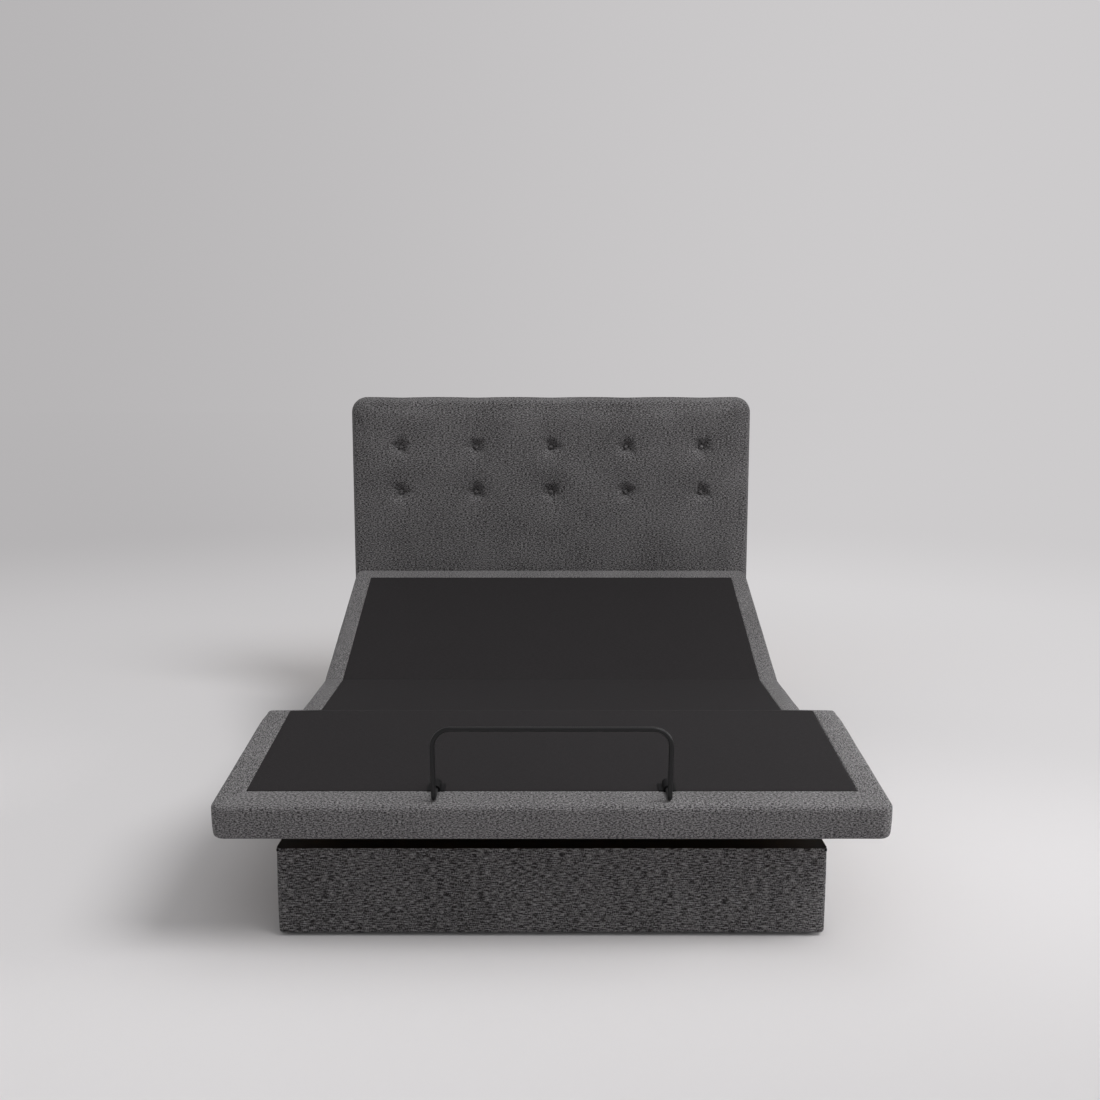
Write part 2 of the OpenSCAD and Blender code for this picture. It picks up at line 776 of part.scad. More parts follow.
module thigh_board() {
    color("#c9a878") at_thigh() deck_board(fold_gap, thigh_len - fold_gap, 0, [[0, 1], [thigh_len, -1]]);
}

// Where the rail beside the knee starts: clear of the mitre and of the hinge leaves
knee_cross_y = fold_gap + (deck_t - hinge_drop) * tan(knee_fold_max / 2 + 1) - 3;

module thigh_frame() {
    color("#b89468") at_thigh() difference() {
        deck_rails(fold_gap, thigh_len, [[fold_gap, false], [thigh_len - knee_cross_y - rail_t, false]],
            0, true);
        knee_mitre(thigh_len, -1);
        block([-deck_w, deck_w], [thigh_len - fold_gap, thigh_len + 1], [-deck_t, top_z]);
    }
}

module thigh_borders() {
    color("#6d6c6e") at_thigh() difference() {
        border(soft_gap, thigh_len - soft_gap / 2, 0);
        knee_mitre(thigh_len, -1);
    }
}

module thigh_cloth() {
    color("#2c2b2d") at_thigh() top_cloth(soft_gap, thigh_len - soft_gap);
}

// What the drive pin drifts along and across its lever as the thigh section moves
thigh_slot_along = [-3, 9];
thigh_slot_across = [-0.6, 1.9];

module thigh_lever() {
    color("#1e1f21") at_thigh() lever(drive_x, thigh_lever_set, thigh_slot_along, thigh_slot_across);
}

module thigh_hinge_moving() {
    color("silver") at_thigh() hinge_outer();
}

module knee_hinge_fixed() {
    color("silver") at_thigh() translate([0, thigh_len, 0]) mirror([0, 1, 0]) hinge_middle();
}

// Foot section ------------------------------------------------------------------------------

module foot_board() {
    color("#c9a878") at_foot() deck_board(fold_gap, foot_len - side_foam, deck_corner_r - side_foam, [[0, 1]]);
}

module foot_frame() {
    far = foot_len - side_foam;
    color("#b89468") at_foot() difference() {
        deck_rails(0, far, [[knee_cross_y, false], [far - rail_t, true]], deck_corner_r - side_foam, true);
        knee_mitre(0, 1);
        block([-deck_w, deck_w], [-1, fold_gap], [-deck_t, top_z]);
    }
}

module foot_border() {
    color("#6d6c6e") at_foot() difference() {
        border(soft_gap / 2, foot_len, deck_corner_r);
        knee_mitre(0, 1);
    }
}

module foot_cloth() {
    color("#2c2b2d") at_foot() top_cloth(soft_gap, foot_len - border_w);
}

foot_ear_x = link_x - plate_t / 2 - side - plate_t;
foot_ear_half = 30;

// Slotted ears that the foot link holds the foot section up by
module foot_ears() {
    slot_up = 1.5;
    slot_down = 6;
    slot_air = 1.6;
    half = link_pin_r + slot_air;
    flange_w = 30;
    flange_t = 4;
    y = span(link_pin_along, -foot_ear_half, foot_ear_half);
    cut_x = [foot_ear_x - overcut, foot_ear_x + plate_t + overcut];
    color("#1e1f21") at_foot() both_sides() difference() {
        union() {
            block([foot_ear_x, foot_ear_x + plate_t], y,
                [-link_pin_drop - slot_down - ear_r, board_bottom]);
            block([foot_ear_x - flange_w, foot_ear_x], y, [board_bottom - flange_t, board_bottom]);
        }
        translate([0, link_pin_along, -link_pin_drop]) {
            for (z = [-slot_down, slot_up]) translate([0, 0, z]) bar_x(cut_x[0], cut_x[1], half);
            block(cut_x, [-half, half], [-slot_down, slot_up]);
        }
    }
}

module knee_hinge_moving() {
    color("silver") at_foot() hinge_outer();
}

// Sockets on the deck that the retainer bar's feet push into
module bar_sockets() {
    wall = 4;
    r = bar_r + wall;
    len = bar_grip + 2 * wall;
    flange_half = 20;
    flange_t = 2.5;
    color("#141415") at_foot() both_sides() translate([bar_w / 2, socket_mouth_y - len, 0]) difference() {
        union() {
            block([-flange_half, flange_half], [0, len - 2], [top_z, top_z + flange_t]);
            block([-r, r], [0, len], [top_z, bar_foot_z]);
            translate([0, 0, bar_foot_z]) rotate([-90, 0, 0]) cylinder(h = len, r = r);
        }
        translate([0, len - bar_grip - seat_clear, bar_foot_z]) rotate([-90, 0, 0])
            cylinder(h = bar_grip + seat_clear + overcut, r = bar_r + run);
        block([-flange_half, flange_half], [-overcut, len + overcut], [top_z - 2 * r, top_z]);
    }
}

// Retainer bar: one bent steel rod
module retainer_bar() {
    foot_y0 = socket_mouth_y - bar_grip;
    top = top_z + bar_h - bar_r;
    color("#101011") at_foot() both_sides() {
        translate([bar_w / 2, foot_y0, bar_foot_z]) rotate([-90, 0, 0])
            cylinder(h = bar_leg_y - bar_foot_r - foot_y0, r = bar_r);
        translate([bar_w / 2, bar_leg_y - bar_foot_r, bar_foot_z + bar_foot_r]) rotate([90, 0, 90])
            rotate([0, 0, -90]) rotate_extrude(angle = 90) translate([bar_foot_r, 0]) circle(bar_r);
        translate([bar_w / 2, bar_leg_y, bar_foot_z + bar_foot_r])
            cylinder(h = top - bar_corner_r - bar_foot_z - bar_foot_r, r = bar_r);
        translate([bar_w / 2 - bar_corner_r, bar_leg_y, top - bar_corner_r]) rotate([90, 0, 0])
            rotate_extrude(angle = 90) translate([bar_corner_r, 0]) circle(bar_r);
        translate([0, bar_leg_y, top]) bar_x(0, bar_w / 2 - bar_corner_r, bar_r);
    }
}

// Foot link: a cross tube in the chassis ears, with an arm to each foot ear
link_pin_rest = [
    knee_axis_y - link_pin_along * cos(foot_angle) + link_pin_drop * sin(foot_angle),
    knee_axis_z - link_pin_along * sin(foot_angle) - link_pin_drop * cos(foot_angle)
];
link_vec = link_pin_rest - [link_axis_y, link_axis_z];
link_arm = norm(link_vec);
link_rise = atan2(link_vec[1], -link_vec[0]);

module foot_link() {
    boss_r = 14;
    arm_half = 10;
    arm_x = span(link_x, -plate_t / 2, plate_t / 2);
    color("#1e1f21") translate([0, link_axis_y, link_axis_z]) {
        bar_x(side - rail_in, rail_in - side, link_pin_r);
        bar_x(side - link_ear_x, link_ear_x - side, link_tube_r);
        rotate([-link_rise, 0, 0]) both_sides() {
            block(arm_x, [-link_arm, 0], [-arm_half, arm_half]);
            translate([0, -link_arm, 0]) {
                bar_x(arm_x[0], arm_x[1], boss_r);
                bar_x(foot_ear_x - pin_end, link_x, link_pin_r);
            }
        }
    }
}

// Drives ------------------------------------------------------------------------------------

// Draws a drive along +Y from its fixed pin, then swings it onto its lever's pin
module at_back_drive() {
    translate([-drive_x, back_drive_y, drive_z])
        rotate([atan2(back_drive_vec[1], back_drive_vec[0]), 0, 0]) children();
}
module at_thigh_drive() {
    translate([drive_x, thigh_drive_y, drive_z])
        rotate([-atan2(thigh_drive_vec[1], thigh_drive_vec[0]), 0, 0]) mirror([0, 1, 0]) children();
}

// Rear eye, gearbox and outer tube, bored for the push rod
module drive_body() {
    wiper_len = 12;
    difference() {
        union() {
            bar_x(-eye_w / 2, eye_w / 2, eye_r);
            block([-eye_w / 2, eye_w / 2], [0, motor_set - gear_half], [-eye_r, eye_r]);
            block([-gear_half, gear_half], span(motor_set, -gear_half - gear_wall, gear_half + gear_wall),
                [motor_top, drive_tube_r + 2]);
            translate([0, motor_set, 0]) rotate([-90, 0, 0])
                cylinder(h = drive_tube_len - motor_set, r = drive_tube_r);
            translate([0, drive_tube_len - wiper_len, 0]) rotate([-90, 0, 0])
                cylinder(h = wiper_len + 2, r = drive_tube_r + 1.5);
        }
        bar_x(-eye_w, eye_w, drive_pin_r + run);
        translate([0, motor_set + gear_half, 0]) rotate([-90, 0, 0])
            cylinder(h = drive_tube_len, r = push_rod_r + run);
    }
}

// Motor under the gearbox, with a narrower end cap
module drive_motor() {
    cap_h = 18;
    cap_step = 2;
    translate([0, motor_set, motor_top - motor_len]) {
        translate([0, 0, cap_h]) cylinder(h = motor_len - cap_h, r = motor_r);
        cylinder(h = cap_h, r = motor_r - cap_step);
    }
}

// Push rod and its eye, with the pin that runs in the lever's slot
module drive_rod(reach) {
    translate([0, rod_start, 0]) rotate([-90, 0, 0])
        cylinder(h = reach - rod_start - eye_r + 2, r = push_rod_r);
    translate([0, reach, 0]) {
        bar_x(-eye_w / 2, eye_w / 2, eye_r);
        bar_x(-fork_out - pin_end, fork_out + pin_end, drive_pin_r);
    }
}

module back_drive_body() { color("#232426") at_back_drive() drive_body(); }
module back_drive_motor() { color("#151617") at_back_drive() drive_motor(); }
module back_drive_rod() { color("silver") at_back_drive() drive_rod(norm(back_drive_vec)); }
module thigh_drive_body() { color("#232426") at_thigh_drive() drive_body(); }
module thigh_drive_motor() { color("#151617") at_thigh_drive() drive_motor(); }
module thigh_drive_rod() { color("silver") at_thigh_drive() drive_rod(norm(thigh_drive_vec)); }

// Headboard ---------------------------------------------------------------------------------

headboard_inset = 6;
panel_y0 = headboard_y + headboard_pad_t;
leg_y0 = panel_y0 + headboard_panel_t;
bracket_z = [60, 140];
button_xs = [for (i = [-2:2]) i * button_pitch];

// Front outline of the headboard, standing up
module headboard_outline(half_w, z0, z1, r) {
    translate([-half_w, z0]) square([2 * half_w, z1 - z0 - r]);
    translate([-half_w + r, z0]) square([2 * (half_w - r), z1 - z0]);
    for (s = [-1, 1]) translate([s * (half_w - r), z1 - r]) circle(r);
}

module standing(y, t) {
    translate([0, y + t, 0]) rotate([90, 0, 0]) linear_extrude(t) children();
}

module headboard_panel() {
    color("#c2a070") difference() {
        standing(panel_y0, headboard_panel_t)
            headboard_outline(headboard_w / 2 - headboard_inset, headboard_bottom + headboard_inset,
                headboard_top - headboard_inset, headboard_corner_r - headboard_inset);
        headboard_bolt_holes();
    }
}

module headboard_pad() {
    color("#4a4849") difference() {
        standing(headboard_y, headboard_pad_t)
            headboard_outline(headboard_w / 2, headboard_bottom, headboard_top, headboard_corner_r);
        for (x = button_xs, z = [button_row_low, button_row_high])
            translate([x, headboard_y - overcut, z]) rotate([-90, 0, 0])
                cylinder(h = button_depth + overcut, r = button_r + 1);
    }
}

// Cloth-covered buttons at the bottom of their dimples
module headboard_buttons() {
    t = 6;
    color("#3c3a3b") for (x = button_xs, z = [button_row_low, button_row_high])
        translate([x, headboard_y + button_depth - t, z]) rotate([-90, 0, 0])
            cylinder(h = t, r = button_r);
}

leg_bolt_inset = 90;
leg_bolt_pitch = 300;
leg_bolt_zs = [for (i = [0, 1]) headboard_bottom + leg_bolt_inset + i * leg_bolt_pitch];
bolt_r = 4;
bolt_head_r = 7;
leg_y1 = leg_y0 + headboard_leg_t;
module headboard_bolt_holes() {
    both_sides() for (z = leg_bolt_zs)
        translate([headboard_leg_x, panel_y0 - overcut, z]) rotate([-90, 0, 0])
            cylinder(h = leg_y1 - panel_y0 + 2 * overcut, r = bolt_r);
}

// Steel legs that stand on the floor behind the panel
module headboard_legs() {
    color("#1e1f21") difference() {
        both_sides() block(span(headboard_leg_x, -headboard_leg_w / 2, headboard_leg_w / 2),
            [leg_y0, leg_y1], [0, leg_bolt_zs[1] + leg_bolt_inset]);
        headboard_bolt_holes();
    }
}

// Steel arms from the plinth's head board to the headboard legs
module headboard_brackets() {
    t = 8;
    flange_half = 22;
    color("#1e1f21") both_sides() {
        block(span(headboard_leg_x, -t / 2, t / 2), [plinth_y1 + t, leg_y0 - t], bracket_z);
        for (y = [plinth_y1, leg_y0 - t])
            block(span(headboard_leg_x, -flange_half, flange_half), [y, y + t], bracket_z);
    }
}

// Bolts through each leg into the headboard's panel
module headboard_bolts() {
    tip_y = panel_y0 + 2;
    color("silver") both_sides() for (z = leg_bolt_zs)
        translate([headboard_leg_x, tip_y, z]) rotate([-90, 0, 0]) {
            cylinder(h = leg_y1 - tip_y, r = bolt_r - run);
            translate([0, 0, leg_y1 - tip_y]) cylinder(h = bolt_head_t, r = bolt_head_r, $fn = 6);
        }
}

plinth_foot_board();
plinth_head_board();
plinth_left_board();
plinth_right_board();
plinth_cover();
corner_blocks();
toe_rails();
floor_glides();
top_ledge();
rail_hangers();
chassis_side_rails();
chassis_cross_tubes();
centre_legs();
seat_posts();
rest_bumpers();
chassis_ears();
drive_pins();
control_box();
mains_inlet();
seat_board();
seat_frame();
seat_borders();
seat_cloth();
back_hinge_fixed();
thigh_hinge_fixed();
headboard_panel();
headboard_pad();
headboard_buttons();
headboard_legs();
headboard_brackets();
headboard_bolts();
back_board();
back_frame();
back_border();
back_cloth();
back_lever();
back_hinge_moving();
thigh_board();
thigh_frame();
thigh_borders();
thigh_cloth();
thigh_lever();
thigh_hinge_moving();
knee_hinge_fixed();
foot_board();
foot_frame();
foot_border();
foot_cloth();
foot_ears();
knee_hinge_moving();
bar_sockets();
retainer_bar();
foot_link();
back_drive_body();
back_drive_motor();
back_drive_rod();
thigh_drive_body();
thigh_drive_motor();
thigh_drive_rod();
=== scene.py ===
"""An adjustable bed base: a cloth-covered plinth, a deck in four hinged sections with padded
borders and dark top cloth, a mattress retainer bar, and a buttoned headboard."""
import json
import math

import bmesh
import bpy
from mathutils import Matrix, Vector, noise


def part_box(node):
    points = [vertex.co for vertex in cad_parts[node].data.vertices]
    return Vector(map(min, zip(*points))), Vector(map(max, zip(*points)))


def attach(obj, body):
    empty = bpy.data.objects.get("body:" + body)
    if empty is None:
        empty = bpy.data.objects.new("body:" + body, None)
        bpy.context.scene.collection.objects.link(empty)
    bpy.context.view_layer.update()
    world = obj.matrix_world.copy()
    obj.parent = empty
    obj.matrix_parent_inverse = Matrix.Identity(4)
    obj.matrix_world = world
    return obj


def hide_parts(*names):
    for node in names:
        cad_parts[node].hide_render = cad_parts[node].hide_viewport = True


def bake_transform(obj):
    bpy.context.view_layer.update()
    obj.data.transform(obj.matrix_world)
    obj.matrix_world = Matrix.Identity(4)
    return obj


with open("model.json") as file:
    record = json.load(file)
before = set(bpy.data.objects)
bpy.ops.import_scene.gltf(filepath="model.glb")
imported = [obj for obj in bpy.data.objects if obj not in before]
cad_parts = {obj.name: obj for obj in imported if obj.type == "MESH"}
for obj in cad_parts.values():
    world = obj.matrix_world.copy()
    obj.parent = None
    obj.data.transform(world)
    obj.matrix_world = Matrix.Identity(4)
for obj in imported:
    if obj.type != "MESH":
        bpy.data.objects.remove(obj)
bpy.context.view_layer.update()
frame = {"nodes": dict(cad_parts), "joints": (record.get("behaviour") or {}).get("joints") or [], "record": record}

MM = 0.001

# Camera, floor and light -----------------------------------------------------------------------

CAMERA_PLACE = (-0.004, -3.6136, 1.289)
CAMERA_DIP = 7.87       # how many degrees below level the camera looks
LENS, FILM = 38.28, 36  # focal length and film width, in mm

# Painted light: each pair is the colour on the side away from the key light, and the one on its side
BACKDROP = "#B5B3B4", "#CDCBCC"
FAR_FLOOR = "#CCCACB", "#DBD9DA"
FLOOR = "#E0DEDF"
BRIGHTENS = -0.55, 0.35  # between these headings the backdrop passes from one to the other
FLOOR_REACH = 60        # half the floor's width, in m
FADE_FROM = 1.5         # how far out the floor's own shading starts to fade, in m
FADE_TO = 4.5, 8.0      # where it has faded, and where the floor has the backdrop's colour
SKY = 0.22, 0.62        # strength of the world's soft light at the horizon and overhead


def set_camera():
    """Straight on from the foot end, a little above the headboard's top, looking down slightly."""
    data = bpy.data.cameras.new("studio_camera")
    data.lens, data.sensor_width = LENS, FILM
    camera = bpy.data.objects.new("studio_camera", data)
    camera.location = CAMERA_PLACE
    camera.rotation_euler = (math.radians(90 - CAMERA_DIP), 0, 0)
    bpy.context.scene.collection.objects.link(camera)
    bpy.context.scene.camera = camera


def linear(code):
    """An sRGB hex colour as linear red, green, blue and alpha."""
    parts = [int(code[i:i + 2], 16) / 255 for i in (1, 3, 5)]
    return tuple(p / 12.92 if p <= 0.04045 else ((p + 0.055) / 1.055) ** 2.4 for p in parts) + (1,)


def add(tree, kind, inputs=None, **settings):
    """Adds a shader node with its settings. An input is a value, or a node's output to link."""
    made = tree.nodes.new("ShaderNode" + kind)
    for name, value in settings.items():
        setattr(made, name, value)
    for name, value in (inputs or {}).items():
        if isinstance(value, bpy.types.NodeSocket):
            tree.links.new(value, made.inputs[name])
        else:
            made.inputs[name].default_value = value
    return made


def backdrop(tree, heading, colours=BACKDROP):
    """A plain colour for a heading, which brightens evenly towards the key light's side."""
    side = add(tree, "SeparateXYZ", {0: heading}).outputs[0]
    share = add(tree, "MapRange", {"Value": side, "From Min": BRIGHTENS[0],
                                   "From Max": BRIGHTENS[1]},
                interpolation_type="SMOOTHSTEP").outputs["Result"]
    return add(tree, "Mix", {0: share, 6: linear(colours[0]), 7: linear(colours[1])},
               data_type="RGBA").outputs[2]


def studio_floor():
    """Pale seamless floor. Far out, where the camera sees it, it glows with painted light: the backdrop's colour,
    lighter towards the key light's side, so no horizon shows.
    """
    mesh = bpy.data.meshes.new("studio_floor")
    corners = ((-1, -1), (1, -1), (1, 1), (-1, 1))
    mesh.from_pydata([(x * FLOOR_REACH, y * FLOOR_REACH, 0) for x, y in corners],
                     [], [(0, 1, 2, 3)])
    floor = bpy.data.objects.new("studio_floor", mesh)
    bpy.context.scene.collection.objects.link(floor)
    paper = bpy.data.materials.new("matt_studio_paper")
    paper.use_nodes = True
    tree = paper.node_tree
    tree.nodes.clear()
    place = add(tree, "TexCoord").outputs["Object"]
    distance = add(tree, "VectorMath", {0: place}, operation="LENGTH").outputs["Value"]
    far, farthest = (
        add(tree, "MapRange", {"Value": distance, "From Min": FADE_FROM, "From Max": faded},
            interpolation_type="SMOOTHSTEP").outputs["Result"]
        for faded in FADE_TO)
    seen = add(tree, "LightPath").outputs["Is Camera Ray"]
    share = add(tree, "Math", {0: far, 1: seen}, operation="MULTIPLY").outputs[0]
    paper_face = add(tree, "BsdfDiffuse", {"Color": linear(FLOOR), "Roughness": 1.0}).outputs[0]
    heading = add(tree, "VectorMath", {0: place}, operation="NORMALIZE").outputs[0]
    colour = add(tree, "Mix", {0: farthest, 6: backdrop(tree, heading, FAR_FLOOR),
                               7: backdrop(tree, heading)}, data_type="RGBA").outputs[2]
    # painted light: seen by the camera, the far floor glows with this colour in place of its own shading, lighter
    # towards the key light's side
    plain = add(tree, "Emission", {"Color": colour}).outputs[0]
    both = add(tree, "MixShader", {0: share, 1: paper_face, 2: plain}).outputs[0]
    add(tree, "OutputMaterial", {"Surface": both})
    mesh.materials.append(paper)


def studio_world():
    """Soft light, strongest from overhead, with the backdrop's colour where the camera sees it."""
    world = bpy.data.worlds.new("studio_world")
    world.use_nodes = True
    bpy.context.scene.world = world
    tree = world.node_tree
    tree.nodes.clear()
    path = add(tree, "LightPath").outputs
    straight = add(tree, "Math", {0: path["Is Camera Ray"], 1: path["Is Glossy Ray"]},
                   operation="MAXIMUM").outputs[0]
    seen = add(tree, "Math", {0: straight, 1: path["Is Transmission Ray"]},
               operation="MAXIMUM").outputs[0]
    heading = add(tree, "TexCoord").outputs["Generated"]
    height = add(tree, "SeparateXYZ", {0: heading}).outputs[2]
    level = add(tree, "MapRange", {"Value": height, "From Min": 0.0, "From Max": 1.0,
                                   "To Min": SKY[0], "To Max": SKY[1]}).outputs["Result"]
    soft = add(tree, "Background", {"Color": linear("#FFFFFF"), "Strength": level}).outputs[0]
    plain = add(tree, "Background", {"Color": backdrop(tree, heading), "Strength": 1.0}).outputs[0]
    both = add(tree, "MixShader", {0: seen, 1: soft, 2: plain}).outputs[0]
    add(tree, "OutputWorld", {"Surface": both})


def soft_lamp(name, place, aim, size, watts, spread=180):
    """A round softbox of a size in m that faces aim, with its light within a spread in degrees."""
    data = bpy.data.lights.new(name, "AREA")
    data.shape, data.size, data.energy, data.spread = "DISK", size, watts, math.radians(spread)
    lamp = bpy.data.objects.new(name, data)
    lamp.location = place
    lamp.rotation_euler = (Vector(aim) - Vector(place)).to_track_quat("-Z", "Y").to_euler()
    bpy.context.scene.collection.objects.link(lamp)


set_camera()
studio_floor()
studio_world()
soft_lamp("key_softbox", (4.0, -2.9, 6.2), (0, 0, 0.2), 3.8, 270)
soft_lamp("overhead_softbox", (0.8, 0.3, 5.4), (0, 0, 0.3), 3.6, 26)
soft_lamp("side_softbox", (3.6, -0.75, 1.5), (0.65, -0.75, 0.1), 1.4, 4.2, 46)
bpy.context.scene.view_settings.view_transform = "Standard"

# Materials -------------------------------------------------------------------------------------


def finish_of(name):
    """A new material and its principled shader."""
    made = bpy.data.materials.new(name)
    made.use_nodes = True
    tree = made.node_tree
    tree.nodes.clear()
    shader = add(tree, "BsdfPrincipled")
    add(tree, "OutputMaterial", {"Surface": shader.outputs[0]})
    return made, tree, shader


# Shares of the yarns along, the yarns across and the dye in a cloth's shade, and its middle value
WEFT, WARP, DYE = 0.62, 0.38, 0.045
MIDDLE_SHADE = (WEFT + WARP + DYE) / 2


def woven(name, dark, light, streak, cross, contrast, sparse, weave=2.6, sheen=0.08, relief=0.5):
    """Woven polyester upholstery cloth, with a soft face broken up by uneven yarns. streak and
    cross are the length and width, in mm, of the lighter slubs that run along and across it, and
    sparse makes them fewer. weave is the spacing of its yarns in mm, drawn coarser than the real
    1 mm so that it shows."""
    made, tree, shader = finish_of(name)
    cloth = add(tree, "Attribute", attribute_name="cloth").outputs["Vector"]
    along = add(tree, "VectorMath", {0: cloth, 1: (1 / streak[0], 1 / streak[1], 1 / streak[1])},
                operation="MULTIPLY").outputs[0]
    across = add(tree, "VectorMath", {0: cloth, 1: (1 / cross[1], 1 / cross[0], 1 / cross[1])},
                 operation="MULTIPLY").outputs[0]
    slub = {"Scale": 1.0, "Detail": 2.5, "Roughness": 0.6}
    weft = add(tree, "TexNoise", {"Vector": along, **slub}).outputs[0]
    warp = add(tree, "TexNoise", {"Vector": across, **slub}).outputs[0]
    # patches about 170 mm across, where the yarn took the dye a little differently
    dye = add(tree, "TexNoise", {"Vector": cloth, "Scale": 0.006, "Detail": 1.0}).outputs[0]
    yarn = add(tree, "Math", {0: weft, 1: WEFT}, operation="MULTIPLY").outputs[0]
    yarn = add(tree, "Math", {0: warp, 1: WARP, 2: yarn}, operation="MULTIPLY_ADD").outputs[0]
    shade = add(tree, "Math", {0: dye, 1: DYE, 2: yarn}, operation="MULTIPLY_ADD").outputs[0]
    half, middle = 0.15 / contrast, MIDDLE_SHADE + sparse
    fleck = add(tree, "MapRange", {"Value": shade, "From Min": middle - half,
                                   "From Max": middle + half}).outputs["Result"]
    colour = add(tree, "Mix", {0: fleck, 6: linear(dark), 7: linear(light)},
                 data_type="RGBA").outputs[2]
    tree.links.new(colour, shader.inputs["Base Color"])
    rough = add(tree, "MapRange", {"Value": weft, "To Min": 0.82, "To Max": 0.98})
    tree.links.new(rough.outputs["Result"], shader.inputs["Roughness"])
    # plain weave: yarns cross over and under at the weave's spacing
    turn = math.tau / weave
    wave = []
    split = add(tree, "SeparateXYZ", {0: cloth}).outputs
    for axis in (0, 1):
        angle = add(tree, "Math", {0: split[axis], 1: turn}, operation="MULTIPLY").outputs[0]
        wave.append(add(tree, "Math", {0: angle}, operation="SINE").outputs[0])
    over = add(tree, "Math", {0: wave[0], 1: wave[1]}, operation="MULTIPLY").outputs[0]
    height = add(tree, "Math", {0: over, 1: 0.22, 2: yarn}, operation="MULTIPLY_ADD").outputs[0]
    bump = add(tree, "Bump", {"Height": height, "Strength": relief, "Distance": 1.2 * MM})
    tree.links.new(bump.outputs[0], shader.inputs["Normal"])
    shader.inputs["Sheen Weight"].default_value = sheen
    shader.inputs["Sheen Roughness"].default_value = 0.5
    shader.inputs["Specular IOR Level"].default_value = 0.08
    return made


def grained(name, base, vein, stretch, relief, roughness, spread=0.06, metallic=0.0, specular=0.5):
    """A hard finish. Its base colour is broken by a vein colour in a grain whose size along x, y
    and z is stretch, in mm. Its roughness, within spread, and its relief, in mm, follow the same
    grain."""
    made, tree, shader = finish_of(name)
    place = add(tree, "TexCoord").outputs["Object"]
    scaled = add(tree, "VectorMath", {0: place, 1: tuple(1000 / s for s in stretch)},
                 operation="MULTIPLY").outputs[0]
    grain = add(tree, "TexNoise", {"Vector": scaled, "Scale": 1.0, "Detail": 4.0,
                                   "Roughness": 0.55}).outputs[0]
    share = add(tree, "MapRange", {"Value": grain, "From Min": 0.25, "From Max": 0.75})
    colour = add(tree, "Mix", {0: share.outputs["Result"], 6: linear(base), 7: linear(vein)},
                 data_type="RGBA")
    tree.links.new(colour.outputs[2], shader.inputs["Base Color"])
    rough = add(tree, "MapRange", {"Value": grain, "To Min": roughness - spread,
                                   "To Max": roughness + spread})
    tree.links.new(rough.outputs["Result"], shader.inputs["Roughness"])
    bump = add(tree, "Bump", {"Height": grain, "Strength": 0.4, "Distance": relief * MM})
    tree.links.new(bump.outputs[0], shader.inputs["Normal"])
    shader.inputs["Metallic"].default_value = metallic
    shader.inputs["Specular IOR Level"].default_value = specular
    return made


FINISH = {
    # charcoal melange cloth of the border: a granular fleck, lighter where it catches the light
    "border_cloth": woven("border_melange_cloth", "#2E2C2D", "#949293",
                          (6.2, 2.2), (4.4, 2.2), 1.75, 0.01),
    # the plinth's cloth has longer slubs along the weft, which read as fine level streaks
    "plinth_cloth": woven("plinth_slub_cloth", "#262425", "#9F9D9E",
                          (16, 2.3), (6, 2.3), 1.8, 0.035),
    # the headboard's cloth is a little darker, with a sharper fleck
    "headboard_cloth": woven("headboard_melange_cloth", "#2A2829", "#8E8C8D",
                             (8, 2.6), (4.6, 2.6), 2.8, 0.01),
    # dark deck cloth: a tight flat weave that shows almost no fleck
    "deck_cloth": woven("dark_deck_cloth", "#262425", "#312F30",
                        (14, 2.2), (12, 2.2), 0.8, 0.0, 2.2, 0.01, 0.25),
    # pressed wood chips with a sawn face, blotched light and dark
    "particle_board": grained("raw_particle_board", "#B3946A", "#7F6340", (6, 6, 3), 0.25, 0.85),
    # phenolic paper face, nearly black, with a faint orange peel
    "black_laminate": grained("black_laminate", "#0D0D0E", "#131314", (3, 3, 3), 0.05, 0.6,
                              specular=0.18),
    # moulded nylon, slightly waxy
    "black_nylon": grained("moulded_nylon", "#121213", "#19191A", (1.5, 1.5, 1.5), 0.04, 0.45),
    # powder-coated steel, with a fine orange peel that breaks up its highlights
    "black_steel": grained("powder_coated_steel", "#151618", "#1D1E20", (1.8, 1.8, 1.8), 0.08,
                           0.42),
    # moulded rubber, dull and nearly without highlights
    "black_rubber": grained("moulded_rubber", "#0F0F0F", "#181818", (2.5, 2.5, 2.5), 0.06, 0.8),
    # zinc plate on pressed steel: grey with a cold mottle
    "zinc_steel": grained("zinc_plated_steel", "#B9BCBE", "#8E9296", (7, 7, 7), 0.03, 0.36,
                          0.08, 1.0),
    # moulded ABS with a fine matt texture
    "black_plastic": grained("moulded_abs", "#0E0E0F", "#141415", (1.2, 1.2, 1.2), 0.05, 0.55,
                             specular=0.1),
    # the drives' ABS casing, spark-textured to an even dark grey
    "drive_casing": grained("spark_textured_abs", "#1F2022", "#2A2B2D", (1.0, 1.0, 1.0), 0.07,
                            0.55),
    # ground and chromed bar, bright, with faint grinding rings
    "chromed_rod": grained("ground_chromed_steel", "#D4D6D8", "#C4C7CA", (40, 0.8, 0.8), 0.008,
                           0.12, 0.03, 1.0),
    # rotary-cut birch faces with a soft lengthwise figure
    "plywood": grained("birch_plywood", "#C9A878", "#A98553", (160, 30, 9), 0.12, 0.62),
    # sawn pine with growth rings along each rail
    "pine": grained("sawn_pine", "#C39E6C", "#8E6637", (220, 220, 3.2), 0.2, 0.68),
    # gloss black powder coat on the bent rod, with a soft highlight along it
    "bar_steel": grained("gloss_black_coated_rod", "#111112", "#161617", (4, 4, 4), 0.02, 0.4,
                         0.03, specular=0.3),
}


def dress_cad_nodes():
    """Each hard CAD node takes the finish that its row in the record names."""
    for part in frame["record"]["subparts"]:
        cad = frame["nodes"][part["node"]]
        cad.data.materials.clear()
        cad.data.materials.append(FINISH[part["material_slot"]])


dress_cad_nodes()

# Mesh helpers ----------------------------------------------------------------------------------


